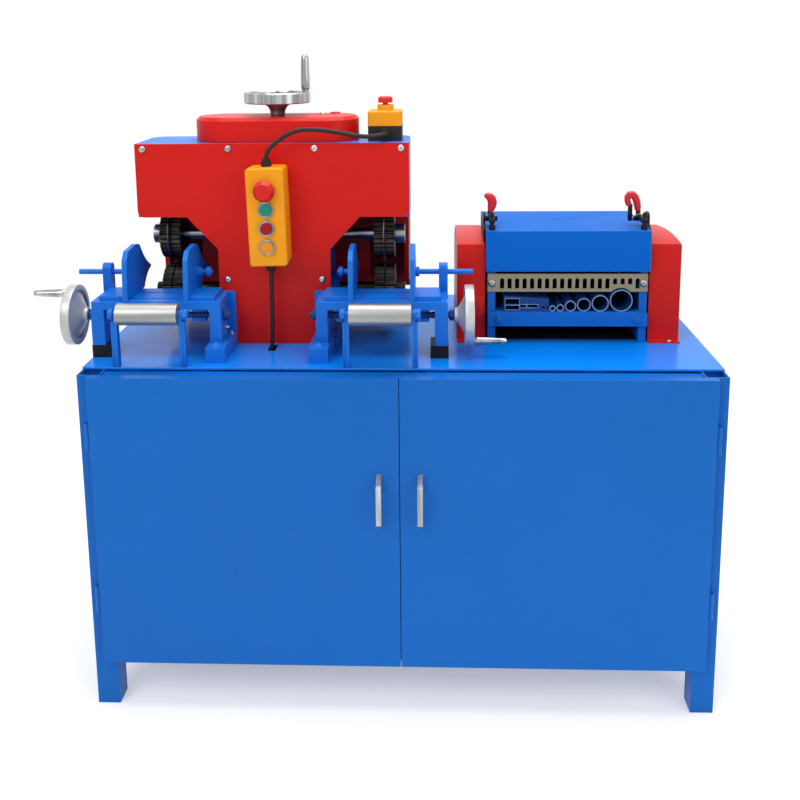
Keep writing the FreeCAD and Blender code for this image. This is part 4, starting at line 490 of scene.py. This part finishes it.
LIFT_AXIS = (-229.5, SHAFT_Y, 0)
LIFT_GRIP_AXIS = (-176.5, SHAFT_Y, 0)
wheel = Form("lift_wheel_rim", "lift_wheel", RIM, "cast_aluminium")
wheel.turned(LIFT_AXIS, UPWARD, [
    (0, 1043.4), (13.2, 1043.4), (13.6, 1044.4), (13.8, 1048.0), (14.6, 1053.0), (17.6, 1058.6),
    (24.0, 1063.4), (36.0, 1067.6), (49.0, 1070.4), (50.4, 1069.4), (50.8, 1067.0), (52.2, 1066.0),
    (59.2, 1066.0), (61.0, 1067.8), (61.0, 1084.0), (59.2, 1086.0), (52.4, 1086.0), (50.6, 1084.4),
    (50.0, 1078.0), (36.0, 1073.4), (20.0, 1070.6), (12.6, 1070.6), (12.0, 1071.6), (11.8, 1076.0),
    (11.0, 1077.0), (0, 1077.0)], 84)
wheel.turned(LIFT_GRIP_AXIS, UPWARD, [
    (0, 1072.0), (8.0, 1072.0), (8.0, 1085.4), (7.2, 1086.3), (0, 1086.3)], 32)
wheel.done("top_handwheel")
screw = Form("lift_screw", "lift_wheel", SHAFTS, "shaft_steel")
screw.thread(LIFT_AXIS, UPWARD, 852.0, 1000.0, 9.0, 4.0)
screw.turned(LIFT_AXIS, UPWARD, [(0, 1000.0), (9.0, 1000.0), (9.0, 1044.0), (0, 1044.0)], 32)
screw.done("top_handwheel")
grip = Form("lift_grip", "lift_crank", CHROME, "bright_metal")
grip.turned(LIFT_GRIP_AXIS, UPWARD, [
    (0, 1086.7), (6.4, 1086.7), (6.4, 1089.6), (7.4, 1091.0), (8.3, 1095.0), (8.3, 1108.0), (7.8, 1126.0),
    (7.2, 1142.0), (6.7, 1149.0), (5.6, 1152.4), (3.6, 1153.8), (0, 1154.0)], 40)
grip.done("top_crank_handle")

# Toggle clamps' grips: red sleeve, dark link and bright nut

for name, sleeve, legs in (
        ("left", [(165.0, 861.0, 9.0), (166.4, 866.0, 12.5), (168.2, 873.0, 15.5), (168.8, 879.0, 17.0),
                  (167.4, 884.6, 17.0), (164.0, 888.6, 15.6), (160.0, 890.4, 12.8), (156.6, 890.6, 9.4),
                  (153.8, 890.0, 5.0)], ((160.5, 169.5, 875.0),)),
        ("right", [(438.2, 862.8, 9.4), (437.8, 870.0, 11.6), (435.8, 880.0, 12.6), (432.6, 887.6, 13.2),
                   (428.0, 892.4, 13.4), (422.6, 892.4, 12.4), (419.0, 888.0, 11.4), (418.8, 881.0, 10.4),
                   (421.6, 873.0, 9.8)], ((420.4, 428.0, 875.0), (435.2, 443.2, 866.0)))):
    hook = Form(name + "_clamp_sleeve", name + "_clamp_grip", GRIP_RED, "grip_red")
    hook.strap(sleeve, 226.6, 239.4)
    hook.done(name + "_clamp_handle")
    link = Form(name + "_clamp_link", name + "_clamp_grip", BLACK_PAINT, "black_paint")
    for near, far, top in legs:
        link.slab((near, far), (229.5, 236.5), (843.0, top), 0.9)
    link.done(name + "_clamp_handle")
    nut = Form(name + "_clamp_nut", name + "_clamp_grip", CHROME, "bright_metal")
    nut.bolt_head((legs[-1][1] - 3.5, 229.5, 853.0), FORWARD, 4.2, 3.4)
    nut.done(name + "_clamp_handle")

# Rear hood's skirt, which hangs below its back wall, in the hood's darker red that is painted shade

skirt = Form("hood_skirt", "machine", SHADED_RED, "red_paint")
skirt.slab((-475.2, 10.2), (448.1, 449.9), (664.0, 704.0), 0.4)
skirt.done()

# Small stripper: near-black sheet and tray behind the guides, painted shade for the bay's shaded inside;
# screws, bolts and the left cover's lap

BAY_X = (172.8, 435.2)
SHEET_BACK, TRAY_TOP = 376.0, 627.2
shade_sheets = Form("stripper_painted_shade", "machine", SHADE_BLACK, "black_paint")
shade_sheets.slab(BAY_X, (SHEET_BACK - 2, SHEET_BACK), (TRAY_TOP, 757.0), 0.4)
# The tray lies over the table's blue top and is painted shade.
shade_sheets.slab(BAY_X, (192.0, SHEET_BACK), (625.3, TRAY_TOP), 0.4)
shade_sheets.done()
fittings = Form("stripper_screws", "machine", CHROME, "bright_metal")
for x in (165.8, 441.8):
    fittings.screw_head((x, 178.0, 737.0), FORWARD, 6.9, 3.2)
fittings.done()
fittings = Form("flange_screw", "machine", CHROME, "bright_metal")
fittings.screw_head((492.0, 181.0, 627.0), UPWARD, 5.0, 3.0)
fittings.done()
fittings = Form("crossbar_bolts", "machine", BLUE, "cabinet_paint")
for x in (178.0, 430.0):
    fittings.bolt_head((x, 172.0, 669.0), FORWARD, 5.0, 3.6)
fittings.done()
seams = Form("cover_seams", "machine", RED, "red_paint")
seams.slab((132.0, 153.6), (187.5, 188.9), (627.4, 707.4), 0.5)
seams.done()

# Pale rims of the guide tubes, from the widest, and of the four larger windows in the block beside them: a
# painted highlight along their front edges

SHELF_Z = 684.5
TUBE_RADII = (20.9, 15.7, 12.8, 10.4, 7.0, 5.9)
TUBE_GAP = 1.2
WIDEST_X = 401.4
TUBES_FRONT = 174.3
BLOCK_X = 188.0
WINDOWS = ((2.5, 28.0, 3.5, 11.5), (2.5, 28.0, 13.0, 24.0), (29.5, 40.7, 7.5, 13.2),
           (42.7, 61.8, 7.5, 13.2))
LINE = 0.9
rims = Form("tube_rims", "machine", RIM_GLINT, "tube_paint")
tube_x = WIDEST_X
for before, radius in zip((None,) + TUBE_RADII, TUBE_RADII):
    if before:
        tube_x -= before + radius + TUBE_GAP
    inner, outer = radius - 1.9, radius - 0.3
    rims.turned((tube_x, TUBES_FRONT, SHELF_Z + radius), FORWARD, [
        (inner, 0), (outer, 0), (outer, LINE), (inner, LINE)], 48, loop=True)
for left, right, low, high in WINDOWS:
    left, right, low, high = BLOCK_X + left, BLOCK_X + right, SHELF_Z + low, SHELF_Z + high
    wide = (left - LINE, right + LINE)
    for x, z in ((wide, (high, high + LINE)), (wide, (low - LINE, low)),
                 ((left - LINE, left), (low, high)), ((right, right + LINE), (low, high))):
        rims.slab(x, (TUBES_FRONT - LINE, TUBES_FRONT), z, 0.2)
rims.done()

# Arched tops of the two end covers

CROWN = ((189.2, 804.2), (189.2, 807.6), (196.0, 808.8), (226.0, 811.6), (262.5, 813.2), (302.0, 812.6),
         (342.2, 809.8), (376.0, 806.6), (396.0, 804.2))
CROWN_MIDDLE = (290.0, 805.0)
crown = Form("cover_crowns", "machine", RED, "red_paint")
for left, right in ((102.6, 153.4), (454.6, 510.4)):
    crown.rings([[(left, *CROWN_MIDDLE)], [(left, *place) for place in CROWN],
                 [(right, *place) for place in CROWN], [(right, *CROWN_MIDDLE)]])
crown.done()

# Cables

CONTROL_ROUTE = ((-236.5, 136.0, 974.6), (-236.0, 136.2, 984.0), (-226.0, 138.0, 997.0),
                 (-211.5, 140.0, 1008.5), (-199.0, 141.0, 1016.5), (-184.0, 142.0, 1022.5),
                 (-168.0, 142.5, 1025.0), (-148.0, 143.0, 1024.6), (-128.0, 143.5, 1022.4),
                 (-108.0, 144.0, 1019.2), (-88.0, 145.0, 1015.3), (-68.5, 147.5, 1011.6),
                 (-52.0, 153.0, 1010.8), (-39.0, 161.0, 1011.6), (-29.0, 171.5, 1012.8),
                 (-28.0, 186.0, 1013.0))
SUPPLY_ROUTE = ((-233.5, 136.0, 771.6), (-233.5, 136.0, 705.0), (-237.0, 143.0, 610.0),
                (-252.0, 149.0, 560.0), (-285.0, 153.0, 528.0), (-330.0, 156.0, 506.0),
                (-370.0, 158.0, 500.0), (-401.0, 158.0, 500.0))
CABLE_THICK = 0.008


def cable(name, node, route):
    """A rubber cable along its route, as one smooth spline."""
    curve = bpy.data.curves.new(name, "CURVE")
    curve.dimensions = "3D"
    curve.bevel_depth = CABLE_THICK / 2
    curve.bevel_resolution = 5
    curve.resolution_u = 10
    curve.use_fill_caps = True
    spline = curve.splines.new("NURBS")
    spline.points.add(len(route) - 1)
    for point, place in zip(spline.points, route):
        point.co = (*at(*place), 1.0)
    spline.order_u = 3
    spline.use_endpoint_u = True
    piece = bpy.data.objects.new(name, curve)
    scene.collection.objects.link(piece)
    curve.materials.append(RUBBER)
    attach(piece, "machine")
    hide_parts(node)


cable("control_lead", "control_cable", CONTROL_ROUTE)
cable("supply_lead", "supply_cable", SUPPLY_ROUTE)


# Camera at the photograph's angle

def view_axes(yaw, pitch, roll):
    """Right, up and forward of a camera from its yaw, downward pitch and roll, in degrees."""
    yaw, pitch, roll = (math.radians(angle) for angle in (yaw, pitch, roll))
    ahead = Vector((math.sin(yaw) * math.cos(pitch), math.cos(yaw) * math.cos(pitch), -math.sin(pitch)))
    level = Vector((math.cos(yaw), -math.sin(yaw), 0))
    above = level.cross(ahead)
    right = math.cos(roll) * level + math.sin(roll) * above
    up = -math.sin(roll) * level + math.cos(roll) * above
    return right, up, ahead


right, up, ahead = view_axes(yaw=-2.266, pitch=9.906, roll=-0.551)
lens = bpy.data.cameras.new("camera")
lens.sensor_width = 36.0
lens.lens = 43.19
lens.shift_x = 0.0064
lens.shift_y = -0.239
lens.clip_end = 50
camera = bpy.data.objects.new("camera", lens)
place = Matrix((right, up, -ahead)).transposed().to_4x4()
place.translation = at(56.8, -1539.9, 1176.6)
camera.matrix_world = place
scene.collection.objects.link(camera)
scene.camera = camera


# Floor, world and lamps

def seen(tree):
    """1 for camera, glossy and transmission rays, 0 for the rays that carry light to other surfaces."""
    rays = tree.nodes.new("ShaderNodeLightPath")
    total = rays.outputs["Is Camera Ray"]
    for name in ("Is Glossy Ray", "Is Transmission Ray"):
        step = tree.nodes.new("ShaderNodeMath")
        step.operation = "MAXIMUM"
        tree.links.new(total, step.inputs[0])
        tree.links.new(rays.outputs[name], step.inputs[1])
        total = step.outputs[0]
    return total


def glow(tree, kind, strength=1.0):
    """Plain white light, as a background or an emission."""
    item = tree.nodes.new(kind)
    item.inputs["Color"].default_value = (1, 1, 1, 1)
    item.inputs["Strength"].default_value = strength
    return item


AMBIENT = 0.5
world = bpy.data.worlds.new("studio")
scene.world = world
world.use_nodes = True
tree = world.node_tree
tree.nodes.clear()
out = tree.nodes.new("ShaderNodeOutputWorld")
blend = tree.nodes.new("ShaderNodeMixShader")
tree.links.new(seen(tree), blend.inputs[0])
for entry, strength in ((1, AMBIENT), (2, 1.0)):
    tree.links.new(glow(tree, "ShaderNodeBackground", strength).outputs[0], blend.inputs[entry])
tree.links.new(blend.outputs[0], out.inputs["Surface"])

# A pale floor that takes the machine's shadow and turns plain white away from it, in metres

SPAN = 9
FLOOR_LIFT = 0.34
WHITE_FROM, WHITE_AT = 1.0, 2.2
floor_mesh = bpy.data.meshes.new("floor")
floor_mesh.from_pydata([(-SPAN, -SPAN, 0), (SPAN, -SPAN, 0), (SPAN, SPAN, 0), (-SPAN, SPAN, 0)], [],
                       [(0, 1, 2, 3)])
floor = bpy.data.objects.new("floor", floor_mesh)
scene.collection.objects.link(floor)
pale = Shader("pale_floor")
pale.set(Base_Color=(0.9, 0.9, 0.9, 1), Roughness=0.9, Specular_IOR_Level=0.1)
shows = seen(pale.tree)
lift = glow(pale.tree, "ShaderNodeEmission")
pale.link(pale.product(shows, FLOOR_LIFT), lift, "Strength")
lit = pale.add("AddShader")
pale.join(pale.body, "BSDF", lit, 0)
pale.join(lift, "Emission", lit, 1)
distance = pale.add("VectorMath", operation="LENGTH")
pale.join(pale.place, "Object", distance, 0)
away = pale.product(pale.ramp(distance.outputs["Value"], WHITE_FROM, WHITE_AT, 0.0, 1.0), shows)
both = pale.add("MixShader")
pale.link(away, both, 0)
pale.join(lit, "Shader", both, 1)
pale.join(glow(pale.tree, "ShaderNodeEmission"), "Emission", both, 2)
pale.join(both, "Shader", pale.out, "Surface")
floor_mesh.materials.append(pale.material)


def lamp(name, place, aim_high, size, power):
    """A soft disk lamp aimed at a height over the middle of the floor."""
    light = bpy.data.lights.new(name, "AREA")
    light.shape = "DISK"
    light.size = size
    light.energy = power
    item = bpy.data.objects.new(name, light)
    item.location = place
    aim = Vector((0, 0, aim_high)) - Vector(place)
    item.rotation_euler = aim.to_track_quat("-Z", "Y").to_euler()
    scene.collection.objects.link(item)


lamp("key", (-1.6, -2.6, 3.0), 0.6, 2.2, 46)
lamp("fill", (2.4, -2.4, 1.8), 0.5, 2.0, 20)
lamp("top", (0.2, 0.2, 3.2), 0.6, 2.4, 62)
